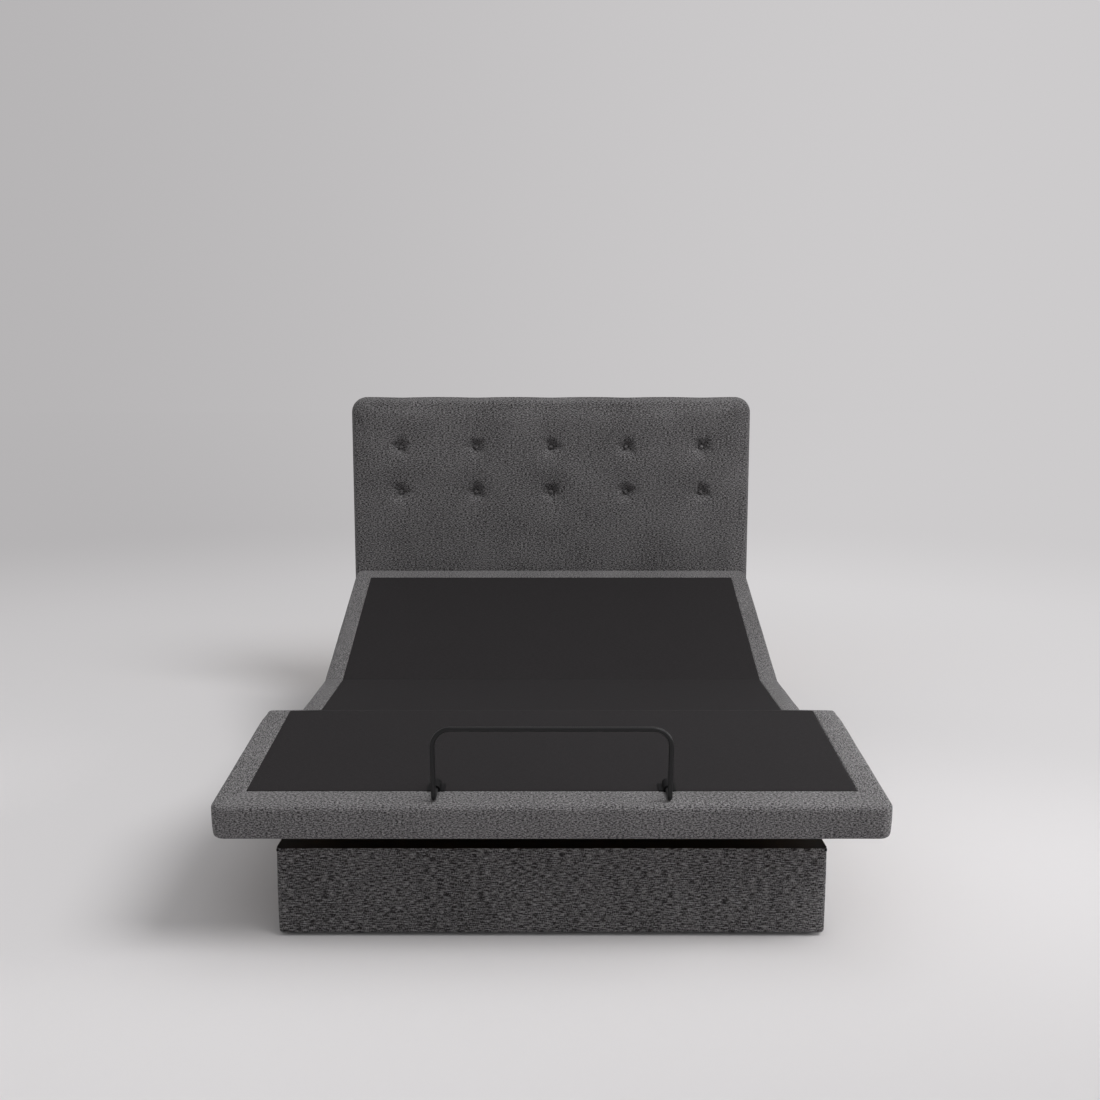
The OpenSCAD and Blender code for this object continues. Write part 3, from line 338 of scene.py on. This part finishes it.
def piece(name, points, faces, slot, cloth, sharp=55):
    """A mesh piece from points in mm, with its finish. cloth gives each point's place on the flat
    cloth, and an edge is sharp where its faces turn by more than sharp degrees."""
    mesh = bpy.data.meshes.new(name)
    mesh.from_pydata([[c * MM for c in p] for p in points], [], faces)
    places = mesh.attributes.new("cloth", "FLOAT_VECTOR", "POINT")
    places.data.foreach_set("vector", [c for p in cloth for c in p])
    tidy = bmesh.new()
    tidy.from_mesh(mesh)
    bmesh.ops.recalc_face_normals(tidy, faces=tidy.faces)
    for face in tidy.faces:
        face.smooth = True
    for edge in tidy.edges:
        edge.smooth = not (edge.is_manifold and edge.calc_face_angle() > math.radians(sharp))
    tidy.to_mesh(mesh)
    tidy.free()
    mesh.materials.append(FINISH[slot])
    made = bpy.data.objects.new(name, mesh)
    bpy.context.scene.collection.objects.link(made)
    return made


def skin(columns, closed):
    """Faces of a tube whose columns each hold one ring of points. An open tube is capped."""
    rows = len(columns[0])
    index = {}
    points = []
    for i, column in enumerate(columns):
        for j, point in enumerate(column):
            index[i, j] = len(points)
            points.append(point)
    faces = []
    count = len(columns)
    for i in range(count if closed else count - 1):
        k = (i + 1) % count
        for j in range(rows):
            m = (j + 1) % rows
            faces.append((index[i, j], index[k, j], index[k, m], index[i, m]))
    if not closed:
        faces.append(tuple(index[0, j] for j in range(rows)))
        faces.append(tuple(index[count - 1, j] for j in range(rows)))
    return points, faces


def rim_of(rows, columns):
    """The row and column of each point round the edge of a grid, in order."""
    return ([(0, j) for j in range(columns)] + [(i, columns - 1) for i in range(1, rows)]
            + [(rows - 1, j) for j in range(columns - 2, -1, -1)]
            + [(i, 0) for i in range(rows - 2, 0, -1)])


def spaced(lo, hi, step):
    """Even places from lo to hi, about a step apart."""
    count = max(1, round((hi - lo) / step))
    return [lo + (hi - lo) * i / count for i in range(count + 1)]


def ease(value):
    """0 at 0 and below, 1 at 1 and above, with a smooth rise between."""
    value = min(1.0, max(0.0, value))
    return value * value * (3 - 2 * value)


def wander(x, y, z, size, height):
    """A small smooth unevenness, the same on every run."""
    return height * noise.noise(Vector((x / size, y / size, z / size)))


# Deck ------------------------------------------------------------------------------------------

HALF = 762.0            # half the deck's width
CORNER = 30.0           # plan radius of the deck's corners
BORDER = 61.0           # width of the padded border on top
SEAT, BACK, THIGH, FOOT = 378.0, 762.0, 430.0, 553.0
FOOT_PROUD = 15.0       # how far the foot end's thicker padding stands out past its board
FOOT_SIDES = 4.0        # the same at the foot section's sides
FOOT_BORDER = 83.0      # width of the border on top at the foot end
ROLL = 9.0              # the outer part of the border's section, the same on every side
EDGE = 20.0             # the part of it that the padding's unevenness and extra fullness reach
SHARPEST = 0.4          # the smallest plan radius on the inside of a corner
TUCK = 0.5              # how far the deck cloth goes under the border's inner edge
TOP, UNDER = 7.0, -73.0  # the deck's faces, from its hinge axes
LIP = 6.0               # where a section's cloth starts to turn, from its hinge axis
ZONE = 70.0             # beyond this the fold doesn't disturb the cloth
GUSSET = 9.0            # depth of the pleat that closes a fold at the sides
PUCKER = 1.4            # how far the cloth is drawn in beside that pleat

joints = {joint["name"]: [1000 * c for c in joint["pos_m"]]
          for joint in frame["joints"] if joint["type"] == "hinge"}

# Each fold: its hinge, the body and slope of the section towards the foot end, the same for the
# section towards the head end, how far its ends are mitred, and how far the cloth runs each way
FOLDS = {
    "back": ("back_hinge", ("base", 0.0), ("back_section", 20.2), 0.0, (-SEAT / 2, BACK)),
    "thigh": ("thigh_hinge", ("thigh_section", -15.4), ("base", 0.0), 0.0, (-THIGH / 2, SEAT / 2)),
    "knee": ("knee_hinge", ("foot_section", 7.0), ("thigh_section", -15.4), 28.7,
             (-FOOT, THIGH / 2)),
}

# Places of the stations beside a fold, from its lip, and of those in the fan between its lips
OFFSETS = [2.0, 5.0, 10.0, 18.0, 30.0, 46.0, ZONE]
FAN = [-1 + i / 6 for i in range(13)]


def lip(z, mitre):
    """How far from its fold a section's cloth ends at height z, where its end is mitred."""
    return LIP + max(0.0, -z - 2) * math.tan(math.radians(mitre))


def fold_stations():
    """Stations through a fold, from the foot side to the head side, as a kind and a value: the
    offset from the fold's lip on its low or high side, or the place in the fan between, from -1
    to 1."""
    return ([("low", offset) for offset in reversed(OFFSETS)] + [("fan", place) for place in FAN]
            + [("high", offset) for offset in OFFSETS])


def fold_place(kind, value, z, mitre):
    """A station's place along the flat deck at height z, and how far it follows the head side."""
    edge = lip(z, mitre)
    if kind == "fan":
        return value * edge, (value + 1) / 2
    reach = edge + value * (1 - edge / ZONE)
    return (reach, 1.0) if kind == "high" else (-reach, 0.0)


def bent(fold, t, z, share):
    """A point of the flat deck, turned about the fold's hinge: its y and z in mm."""
    hinge, low, high = FOLDS[fold][:3]
    angle = math.radians(low[1] + (high[1] - low[1]) * share)
    return (joints[hinge][1] + t * math.cos(angle) - z * math.sin(angle),
            joints[hinge][2] + t * math.sin(angle) + z * math.cos(angle))


def border_profile():
    """Section of the border, as (inset from the deck's edge, height, whether on the outside)."""
    outside = [(27, UNDER + 0.4), (16, UNDER), (8, UNDER), (3.6, -72.2), (1.2, -69.8), (0.2, -66)]
    outside += [(-0.9 * math.sin(math.pi * (z + 66) / 64), z) for z in spaced(-60, -8, 8.7)]
    round_r = 11.5
    for i in range(9):
        a = math.radians(90 * i / 8)
        outside.append((round_r * (1 - math.cos(a)), TOP - 0.3 - round_r + round_r * math.sin(a)))
    for d in spaced(15, 56, 7):
        outside.append((d, TOP - 0.3 + 0.7 * math.sin(math.pi * (d - round_r) / 46)))
    outside += [(58.4, 6.5), (59.8, 5.8), (60.6, 5.0), (60.9, 4.4)]
    board_top, rail_side, rail_under = 4.25, 12.4, -71.3
    inside = [(59, board_top), (30, board_top), (rail_side, board_top), (rail_side, -30),
              (rail_side, rail_under), (27, rail_under)]
    return [(d, z, True) for d, z in outside] + [(d, z, False) for d, z in inside]


PROFILE = border_profile()
GIRTH = [0.0]
for before, after in zip(PROFILE, PROFILE[1:]):
    GIRTH.append(GIRTH[-1] + math.hypot(after[0] - before[0], after[1] - before[1]))


def far_reach(fold, way):
    """How far a fold's cloth runs, towards the head end (way 1) or the foot end (way -1)."""
    return abs(FOLDS[fold][4][1 if way > 0 else 0])


def corner_radius(inset):
    """Plan radius of the border's corner, inset from the deck's."""
    return max(CORNER - inset, SHARPEST)


def edge_share(d):
    """1 at the deck's edge, easing to 0 where the padding lies flat on the board."""
    return ease((EDGE - d) / EDGE)


def end_inset(way, d, outside):
    """How far in from the deck's foot or head end a point of the border's section lies."""
    if way > 0:
        return d
    if not outside:
        return d + FOOT_PROUD
    return d + max(0.0, d - ROLL) * (FOOT_BORDER - BORDER) / (BORDER - ROLL)


def side_proud(fold, t, d, outside):
    """How far the border's padding stands out sideways, easing in from the knee's fold."""
    if fold != "knee" or not outside:
        return 0.0
    return FOOT_SIDES * ease((-t - LIP) / 50) * edge_share(d)


def border_column(fold, side, kind, value, way=0):
    """The border's section at one station of a straight side, and each point's place on its cloth.
    A far station lies beyond the fold, one way or the other. Its value is its share of the way
    out, and whether a rounded corner follows."""
    mitre = FOLDS[fold][3]
    column, cloth = [], []
    for (d, z, outside), girth in zip(PROFILE, GIRTH):
        inset = d
        if kind == "far":
            out, corner_follows = value
            reach = far_reach(fold, way)
            if corner_follows:
                deep = end_inset(way, d, outside)
                reach -= deep + corner_radius(deep)
            t = way * (ZONE + out * (reach - ZONE))
            share = 1.0 if way > 0 else 0.0
        else:
            t, share = fold_place(kind, value, z, mitre)
            if outside and d < 10:
                near = ease((-z - 5) / 22)
                if kind == "fan":
                    inset += near * (PUCKER + (GUSSET - PUCKER) * (1 - value * value))
                else:
                    inset += near * PUCKER * max(0.0, 1 - value / 5)
        x = side * (HALF - inset + side_proud(fold, t, d, outside))
        if outside:
            x += side * wander(t, z, side * 9, 90, 0.7) * edge_share(d)
        y, up = bent(fold, t, z, share)
        column.append((x, y, up))
        cloth.append((t, girth, side * 40.0))
    return column, cloth


def end_column(fold, way, side, value):
    """The border's section round the deck's end: at an angle in degrees of the corner on one side,
    or, where side is 0, at a share of the half width along the end itself."""
    end = far_reach(fold, way)
    share = 1.0 if way > 0 else 0.0
    column, cloth = [], []
    for (d, z, outside), girth in zip(PROFILE, GIRTH):
        deep = end_inset(way, d, outside)
        radius, deep_radius = corner_radius(d), corner_radius(deep)
        x0 = HALF - d - radius + side_proud(fold, way * end, d, outside)
        t0 = end - deep - deep_radius
        if side:
            a = math.radians(value)
            x, t = side * (x0 + radius * math.cos(a)), t0 + deep_radius * math.sin(a)
            run = side * (HALF - CORNER * (1 - math.cos(a)))
        else:
            x, t = value * x0, end - deep
            run = value * (HALF - CORNER)
        if outside:
            t += wander(x, z, 5, 110, 0.9) * edge_share(d)
        y, up = bent(fold, way * t, z, share)
        column.append((x, y, up))
        cloth.append((run, girth + 400.0, 0.0))
    return column, cloth


def far_stations(reach):
    """Shares of the way beyond a fold's zone, about 38 mm apart."""
    count = round(reach / 38)
    return [i / count for i in range(1, count + 1)]


def blend_fold(made):
    """Bakes the piece's placement into its points."""
    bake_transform(made)


def side_columns(fold, side, ends):
    """Columns along one side, from the foot side to the head side of a fold.
    ends says, for each way, whether a rounded corner follows."""
    lo, hi = FOLDS[fold][4]
    columns = []
    for share in reversed(far_stations(-lo - ZONE)):
        columns.append(border_column(fold, side, "far", (share, ends[0]), -1))
    for kind, value in fold_stations():
        columns.append(border_column(fold, side, kind, value))
    for share in far_stations(hi - ZONE):
        columns.append(border_column(fold, side, "far", (share, ends[1]), 1))
    return columns


ARC = [90 * i / 8 for i in range(1, 9)]
ACROSS = [-1 + 2 * i / 40 for i in range(41)]


def border(name, fold, *replaced):
    """The padded border on both sides of a fold, and round the deck's end if the fold has one."""
    if fold == "thigh":
        runs = [side_columns(fold, side, (False, False)) for side in (-1, 1)]
    else:
        way = 1 if fold == "back" else -1
        ends = (way < 0, way > 0)
        left, right = (side_columns(fold, side, ends) for side in (-1, 1))
        if way < 0:
            left, right = left[::-1], right[::-1]
        run = left + [end_column(fold, way, -1, a) for a in ARC]
        run += [end_column(fold, way, 0, share) for share in ACROSS[1:-1]]
        run += [end_column(fold, way, 1, a) for a in reversed(ARC)] + right[::-1]
        runs = [run]
    points, faces, cloth = [], [], []
    for run in runs:
        some, rings = skin([column for column, _ in run], False)
        faces += [tuple(i + len(points) for i in ring) for ring in rings]
        points += some
        cloth += [place for _, places in run for place in places]
    made = piece(name, points, faces, "border_cloth", cloth)
    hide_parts(*replaced)
    blend_fold(made)


def deck_cloth(name, fold, *replaced):
    """Dark cloth stretched over the deck between its borders, tucked into the seam all round."""
    lo, hi = FOLDS[fold][4]
    open_lo, open_hi = fold != "knee", fold != "back"
    lo = lo if open_lo else lo + FOOT_BORDER - TUCK
    hi = hi if open_hi else hi - BORDER + TUCK
    half = HALF - BORDER + TUCK
    seam = [0.0, 0.6, 1.4, 2.6, 4.5, 8.0, 16.0]
    xs = [-half + e for e in seam] + spaced(-half + 40, half - 40, 44)
    xs += [half - e for e in reversed(seam)]

    def beyond(reach, opened):
        """Rows from the fold's zone to the cloth's end, closer together at a seam."""
        if opened:
            return spaced(ZONE, reach, 40)[1:]
        return spaced(ZONE, reach - 40, 40)[1:] + [reach - e for e in reversed(seam)]

    stations = [("far", -t) for t in reversed(beyond(-lo, open_lo))] + fold_stations()
    stations += [("far", t) for t in beyond(hi, open_hi)]
    points, cloth = [], []
    for lower in (0, 1):
        for kind, value in stations:
            for x in xs:
                if kind == "far":
                    t, share = value, 1.0 if value > 0 else 0.0
                else:
                    t, share = fold_place(kind, value, 0, 0)
                edge = half - abs(x)
                if not open_lo:
                    edge = min(edge, t - lo)
                if not open_hi:
                    edge = min(edge, hi - t)
                z = 6.4 - 2.0 * (1 - ease(edge / 3.2)) + wander(x, t, 3, 160, 0.15)
                if lower:
                    z = max(4.15, z - 0.9)
                y, up = bent(fold, t, z, share)
                points.append((x, y, up))
                cloth.append((x, t, 0.0))
    many, wide = len(stations), len(xs)

    def at(lower, i, j):
        """Number of the point in row i and column j of the upper or the lower layer."""
        return (lower * many + i) * wide + j

    faces = []
    for lower in (0, 1):
        for i in range(many - 1):
            for j in range(wide - 1):
                faces.append((at(lower, i, j), at(lower, i, j + 1), at(lower, i + 1, j + 1),
                              at(lower, i + 1, j)))
    rim = rim_of(many, wide)
    for here, there in zip(rim, rim[1:] + rim[:1]):
        faces.append((at(0, *here), at(0, *there), at(1, *there), at(1, *here)))
    made = piece(name, points, faces, "deck_cloth", cloth)
    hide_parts(*replaced)
    blend_fold(made)


border("back_and_seat_border", "back", "back_border", "seat_borders")
border("seat_and_thigh_border", "thigh", "thigh_borders")
border("thigh_and_foot_border", "knee", "foot_border")
deck_cloth("back_and_seat_cloth", "back", "back_cloth", "seat_cloth")
deck_cloth("seat_and_thigh_cloth", "thigh", "thigh_cloth")
deck_cloth("thigh_and_foot_cloth", "knee", "foot_cloth")

# Plinth cover ----------------------------------------------------------------------------------


def plinth_cover():
    """Cloth drawn round the plinth boards over thin padding, turned in at the top and bottom."""
    lo, hi = (tuple(1000 * c for c in corner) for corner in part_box("plinth_cover"))
    radius = 12.0
    middle = (lo[1] + hi[1]) / 2
    half_x, half_y = (hi[0] - lo[0]) / 2, (hi[1] - lo[1]) / 2
    low, high = lo[2], hi[2]
    # each row of the section is (inset, height): the hem is turned in under the boards, and the
    # top edge stands in front of the ledge's
    rows = [(4.7, low - 0.2), (22, low - 0.2), (22, low - 0.9), (12, low - 1.0), (4, low - 1.0),
            (1.8, low - 0.5), (0.6, low + 1.0), (0.1, low + 5)]
    rows += [(-0.7 * math.sin(math.pi * (z - low) / (high - low)), z)
             for z in spaced(low + 12, high - 12, 14)]
    rows += [(0.0, high - 4), (0.0, high + 4), (0.1, high + 6.6), (0.3, high + 7.6),
             (0.6, high + 7.8), (0.85, high + 7.2), (0.9, high - 0.2), (4.7, high - 0.3)]
    corners = [(1, 1), (-1, 1), (-1, -1), (1, -1)]
    outline = []
    for quarter, (sx, sy) in enumerate(corners):
        for a in spaced(0, 90, 15):
            turn = math.radians(a + 90 * quarter)
            outline.append((sx * (half_x - radius), sy * (half_y - radius),
                            math.cos(turn), math.sin(turn)))
        next_x, next_y = corners[(quarter + 1) % 4]
        start = Vector(outline[-1][:2])
        finish = Vector((next_x * (half_x - radius), next_y * (half_y - radius)))
        count = round((finish - start).length / 50)
        for i in range(1, count):
            p = start.lerp(finish, i / count)
            outline.append((p.x, p.y, outline[-1][2], outline[-1][3]))
    columns, cloth = [], []
    run, last = 0.0, None
    for x, y, nx, ny in outline:
        place = (x + radius * nx, y + radius * ny)
        run += math.dist(place, last) if last else 0.0
        last = place
        column = []
        for d, z in rows:
            out = radius - d + wander(place[0], place[1], z, 130, 0.7)
            column.append((x + out * nx, middle + y + out * ny, z))
            cloth.append((run, z, 0.0))
        columns.append(column)
    points, faces = skin(columns, True)
    made = piece("plinth_cloth_cover", points, faces, "plinth_cloth", cloth)
    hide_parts("plinth_cover")
    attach(made, "base")


plinth_cover()

# Headboard -------------------------------------------------------------------------------------

PAD_LO, PAD_HI = (tuple(1000 * c for c in corner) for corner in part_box("headboard_pad"))
PANEL_REAR = 1000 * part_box("headboard_panel")[1][1]
HEAD_CORNER = 62.0      # radius of the two top corners
HEAD_ROLL = 24.0        # radius of the rolled edge
HEAD_PROUD = 3.0        # how far the padding stands out past the panel's outline at the sides
BUTTON_GAP = 298.0      # from one button to the next in its row
BUTTON_XS = [i * BUTTON_GAP for i in range(-2, 3)]
BUTTON_ZS = [879.0, 1058.0]
BUTTON_PULL = 25.0      # how deep the buttons pull the cover into the padding
TUFT_FLOOR = 10.0       # radius of the flat bottom that a button sits in
TUFT_R = 36.0           # how far round that the cover is drawn in
PLEAT = 2.4             # depth of the pleats round a button
PLEAT_R, PLEAT_REACH = 23.0, 13.0  # how far out they are deepest, and how far they run from there
CROWN = 5.0             # how far the cushion's face falls back at its edge
DISH, DISH_R = 9.0, 70.0  # depth and reach of the hollow round each button
DIP = 2.4               # how far the top edge sinks above each button
DIP_FROM = 1150.0       # height above which it sinks
PADDING_RISE = 7.0      # the furthest that the padding presses the cover out
PRESSURE = 4.0          # how hard it presses
PRESSED_STEPS = 14      # how many steps of Cloth it presses for
BUTTON_CLOTH = 700, 70  # where the buttons' cloth was cut, away from the cushion's


def pressed_out(made, held, cap):
    """Lets the padding press a cover outward with Cloth. Held points stay where they are, and no
    other point moves further than cap mm."""
    group = made.vertex_groups.new(name="held")
    group.add(held, 1.0, "REPLACE")
    start = [v.co.copy() for v in made.data.vertices]
    padding = made.modifiers.new("padding", "CLOTH")
    cover = padding.settings
    cover.quality = 5
    cover.mass = 0.3
    cover.tension_stiffness = cover.compression_stiffness = 15
    cover.shear_stiffness = 5
    cover.bending_stiffness = 5
    cover.use_pressure = True
    cover.uniform_pressure_force = PRESSURE
    cover.effector_weights.gravity = 0
    cover.vertex_group_mass = "held"
    padding.collision_settings.use_collision = False
    padding.point_cache.frame_start, padding.point_cache.frame_end = 1, PRESSED_STEPS
    scene = bpy.context.scene
    for frame_number in range(1, PRESSED_STEPS + 1):
        scene.frame_set(frame_number)
    settled = made.evaluated_get(bpy.context.evaluated_depsgraph_get()).data
    for vertex, before, after in zip(made.data.vertices, start, settled.vertices):
        move = after.co - before
        if move.length > cap * MM:
            move *= cap * MM / move.length
        vertex.co = before + move
    made.modifiers.remove(padding)
    made.vertex_groups.remove(group)
    scene.frame_set(1)


def refined(made):
    """Subdivides an open cover once, so that its tufts come out smooth."""
    smooth = made.modifiers.new("finer", "SUBSURF")
    smooth.levels = 1
    smooth.use_limit_surface = False
    finer = made.evaluated_get(bpy.context.evaluated_depsgraph_get())
    made.data = bpy.data.meshes.new_from_object(finer)
    made.modifiers.clear()


def closed(made):
    """Fills the opening left at the back of a cover."""
    whole = bmesh.new()
    whole.from_mesh(made.data)
    bmesh.ops.holes_fill(whole, edges=[e for e in whole.edges if e.is_boundary], sides=0)
    bmesh.ops.recalc_face_normals(whole, faces=whole.faces)
    whole.to_mesh(made.data)
    whole.free()


def lines(lo, hi):
    """Even grid lines from lo to hi, closer together only over the rolled edges."""
    at, found = lo, [lo]
    while at < hi:
        at += 6.0 if min(at - lo, hi - at) < 28 else 9.5
        found.append(at)
    scale = (hi - lo) / (found[-1] - lo)
    return [lo + (p - lo) * scale for p in found]


def headboard_plan(x, z):
    """Moves a point of the square grid so that the two top corners come out round.
    Returns its place and its distance in from the outline."""
    half = (PAD_HI[0] - PAD_LO[0]) / 2
    u, v = abs(x) - (half - HEAD_CORNER), z - (PAD_HI[2] - HEAD_CORNER)
    if u > 0 and v > 0:
        u, v = u / HEAD_CORNER, v / HEAD_CORNER
        u, v = u * math.sqrt(1 - v * v / 2), v * math.sqrt(1 - u * u / 2)
        edge = HEAD_CORNER * (1 - math.hypot(u, v))
        return (math.copysign(half - HEAD_CORNER + u * HEAD_CORNER, x),
                PAD_HI[2] - HEAD_CORNER + v * HEAD_CORNER, edge)
    return x, z, min(half - abs(x), PAD_HI[2] - z, z - PAD_LO[2])


def inward(x, z):
    """Direction from the nearest edge of the headboard's outline to its inside."""
    half = PAD_HI[0]
    u, v = abs(x) - (half - HEAD_CORNER), z - (PAD_HI[2] - HEAD_CORNER)
    if u > 0 and v > 0:
        length = math.hypot(u, v)
        return -math.copysign(u / length, x), -v / length
    top, bottom = PAD_HI[2] - z, z - PAD_LO[2]
    if half - abs(x) <= min(top, bottom):
        return -math.copysign(1, x), 0.0
    return 0.0, -1.0 if top < bottom else 1.0


def flat_place(x, z, edge):
    """A point's place on the cloth before it was drawn round the rolled edge."""
    if edge >= HEAD_ROLL:
        return x, z, 0.0
    ix, iz = inward(x, z)
    angle = math.acos(1 - max(0.0, edge) / HEAD_ROLL)
    extra = HEAD_ROLL * (angle - math.pi / 2) + HEAD_ROLL - edge
    return x + ix * extra, z + iz * extra, 0.0


def to_buttons(x, z):
    """Distance and direction to the nearest button, and its column's and its row's number."""
    column = min(range(5), key=lambda i: abs(x - BUTTON_XS[i]))
    row = min(range(2), key=lambda i: abs(z - BUTTON_ZS[i]))
    dx, dz = x - BUTTON_XS[column], z - BUTTON_ZS[row]
    return math.hypot(dx, dz), math.atan2(dz, dx), column, row


def cushion_depth(x, z, edge):
    """How far the cushion's face lies behind its foremost plane before its buttons are pulled."""
    depth = CROWN * math.exp(-edge / 50)
    if edge < HEAD_ROLL:
        depth += HEAD_ROLL - math.sqrt(max(0.0, HEAD_ROLL ** 2 - (HEAD_ROLL - edge) ** 2))
    r = to_buttons(x, z)[0]
    return depth + DISH * math.exp(-(r / DISH_R) ** 2) + wander(x, 0, z, 140, 1.0)


def tuft_depth(x, z):
    """How far a pulled button draws the cover in: a cone with an uneven rim and sharp pleats,
    which are turned differently at each button."""
    r, angle, column, row = to_buttons(x, z)
    turn = 1.9 * column + 2.6 * row
    reach = TUFT_R * (1 + 0.16 * math.cos(3 * angle + turn) + 0.1 * math.cos(5 * angle + 2 * turn))
    drawn = max(0.0, 1 - max(0.0, r - TUFT_FLOOR) / reach)
    pleat = (1 - abs(math.sin(2.5 * angle + turn))) ** 3
    pleat += 0.7 * (1 - abs(math.sin(2 * angle - turn))) ** 4
    pleat *= PLEAT * math.exp(-((r - PLEAT_R) / PLEAT_REACH) ** 2)
    return BUTTON_PULL * drawn ** 1.7 + pleat


def cushion_cover():
    """The cover as it is cut and stapled, before the padding presses it out, open at the back.
    Returns its piece and the points that stay held against the panel."""
    xs = lines(PAD_LO[0], PAD_HI[0])
    zs = lines(PAD_LO[2], PAD_HI[2])
    front = PAD_LO[1]
    points, cloth = [], []
    for z in zs:
        for x in xs:
            px, pz, edge = headboard_plan(x, z)
            points.append((px, front + cushion_depth(px, pz, edge), pz))
            cloth.append(flat_place(px, pz, edge))
    wide, tall = len(xs), len(zs)
    faces = [(i * wide + j, i * wide + j + 1, (i + 1) * wide + j + 1, (i + 1) * wide + j)
             for i in range(tall - 1) for j in range(wide - 1)]
    rim = [i * wide + j for i, j in rim_of(tall, wide)]
    # the cover goes round the panel's edge and is stapled behind it: each ring's inset and y
    rings = [(0.0, front + 32), (0.0, front + 41), (0.0, front + 50), (0.0, PANEL_REAR - 10),
             (0.3, PANEL_REAR - 3), (1.6, PANEL_REAR - 0.2), (5.6, PANEL_REAR - 0.2),
             (5.6, PAD_HI[1] - 0.3)]
    held = []
    previous = rim
    for inset, y in rings:
        ring = []
        for vertex in rim:
            x, rim_y, z = points[vertex]
            ix, iz = inward(x, z)
            at = cloth[vertex]
            ring.append(len(points))
            points.append((x + ix * inset, y, z + iz * inset))
            cloth.append((at[0] - ix * (y - rim_y), at[1] - iz * (y - rim_y), 0.0))
        for a in range(len(rim)):
            b = (a + 1) % len(rim)
            faces.append((previous[a], previous[b], ring[b], ring[a]))
        if y > front + 45:
            held += ring
        previous = ring
    return piece("headboard_cushion", points, faces, "headboard_cloth", cloth, 60), held


def headboard_cushion():
    """The cushion: its cover pressed out, drawn in at the buttons, and closed at the back."""
    made, held = cushion_cover()
    pressed_out(made, held, PADDING_RISE)
    refined(made)
    half_gap = BUTTON_GAP / 2
    for vertex in made.data.vertices:
        x, y, z = (c / MM for c in vertex.co)
        # the buttons draw in the face only, not the cloth behind it
        tuft = tuft_depth(x, z) * ease((PAD_LO[1] + 40 - y) / 20)
        away = abs(x) / PAD_HI[0]
        wider = 1 + HEAD_PROUD / PAD_HI[0] * ease((PANEL_REAR - y) / 30) * away
        above = math.exp(-(((x + half_gap) % BUTTON_GAP - half_gap) / DISH_R) ** 2)
        dip = DIP * above * ease((z - DIP_FROM) / 90)
        vertex.co = Vector((x * wider, y + tuft, z - dip)) * MM
    closed(made)
    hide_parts("headboard_pad")
    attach(made, "base")
    return made


def headboard_buttons(cushion):
    """Cloth-covered buttons, each pulled down into its tuft, with small gathers at the rim."""
    points, faces, cloth = [], [], []
    around = 28
    # each ring's radius and depth, from the middle of the face round to the middle of the back
    rings = [(2.6, -7.2), (5.2, -6.0), (7.2, -4.2), (8.6, -1.6), (9.1, 1.0), (8.6, 3.4),
             (5.0, 4.6)]
    face_middle, back_middle = -7.6, 5.0
    last = len(rings) - 1
    u, v = BUTTON_CLOTH

    def off(vertex, bx, bz):
        """How far a point of the cushion's face is from a button's middle, squared."""
        behind = vertex.co.y / MM > PAD_HI[1] - 5
        return (vertex.co.x / MM - bx) ** 2 + (vertex.co.z / MM - bz) ** 2 + 1e6 * behind

    for bx in BUTTON_XS:
        for bz in BUTTON_ZS:
            bottom = min(cushion.data.vertices, key=lambda vertex: off(vertex, bx, bz))
            seat = bottom.co.y / MM - 5.0
            start = len(points)
            for ring, (r, y) in enumerate(rings):
                for k in range(around):
                    a = math.tau * k / around
                    out = r * (1 + 0.035 * math.cos(7 * a) * ring / 5)
                    points.append((bx + out * math.cos(a), seat + y, bz + out * math.sin(a)))
                    cloth.append((points[-1][0] + u, points[-1][2] + v, 0.0))
            points += [(bx, seat + face_middle, bz), (bx, seat + back_middle, bz)]
            cloth += [(bx + u, bz + v, 0.0)] * 2
            for k in range(around):
                n = (k + 1) % around
                faces.append((start + k, start + n, len(points) - 2))
                faces.append((start + last * around + k, start + last * around + n,
                              len(points) - 1))
                for ring in range(last):
                    a, b = start + ring * around, start + (ring + 1) * around
                    faces.append((a + k, a + n, b + n, b + k))
    made = piece("headboard_cloth_buttons", points, faces, "headboard_cloth", cloth)
    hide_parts("headboard_buttons")
    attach(made, "base")


headboard_buttons(headboard_cushion())
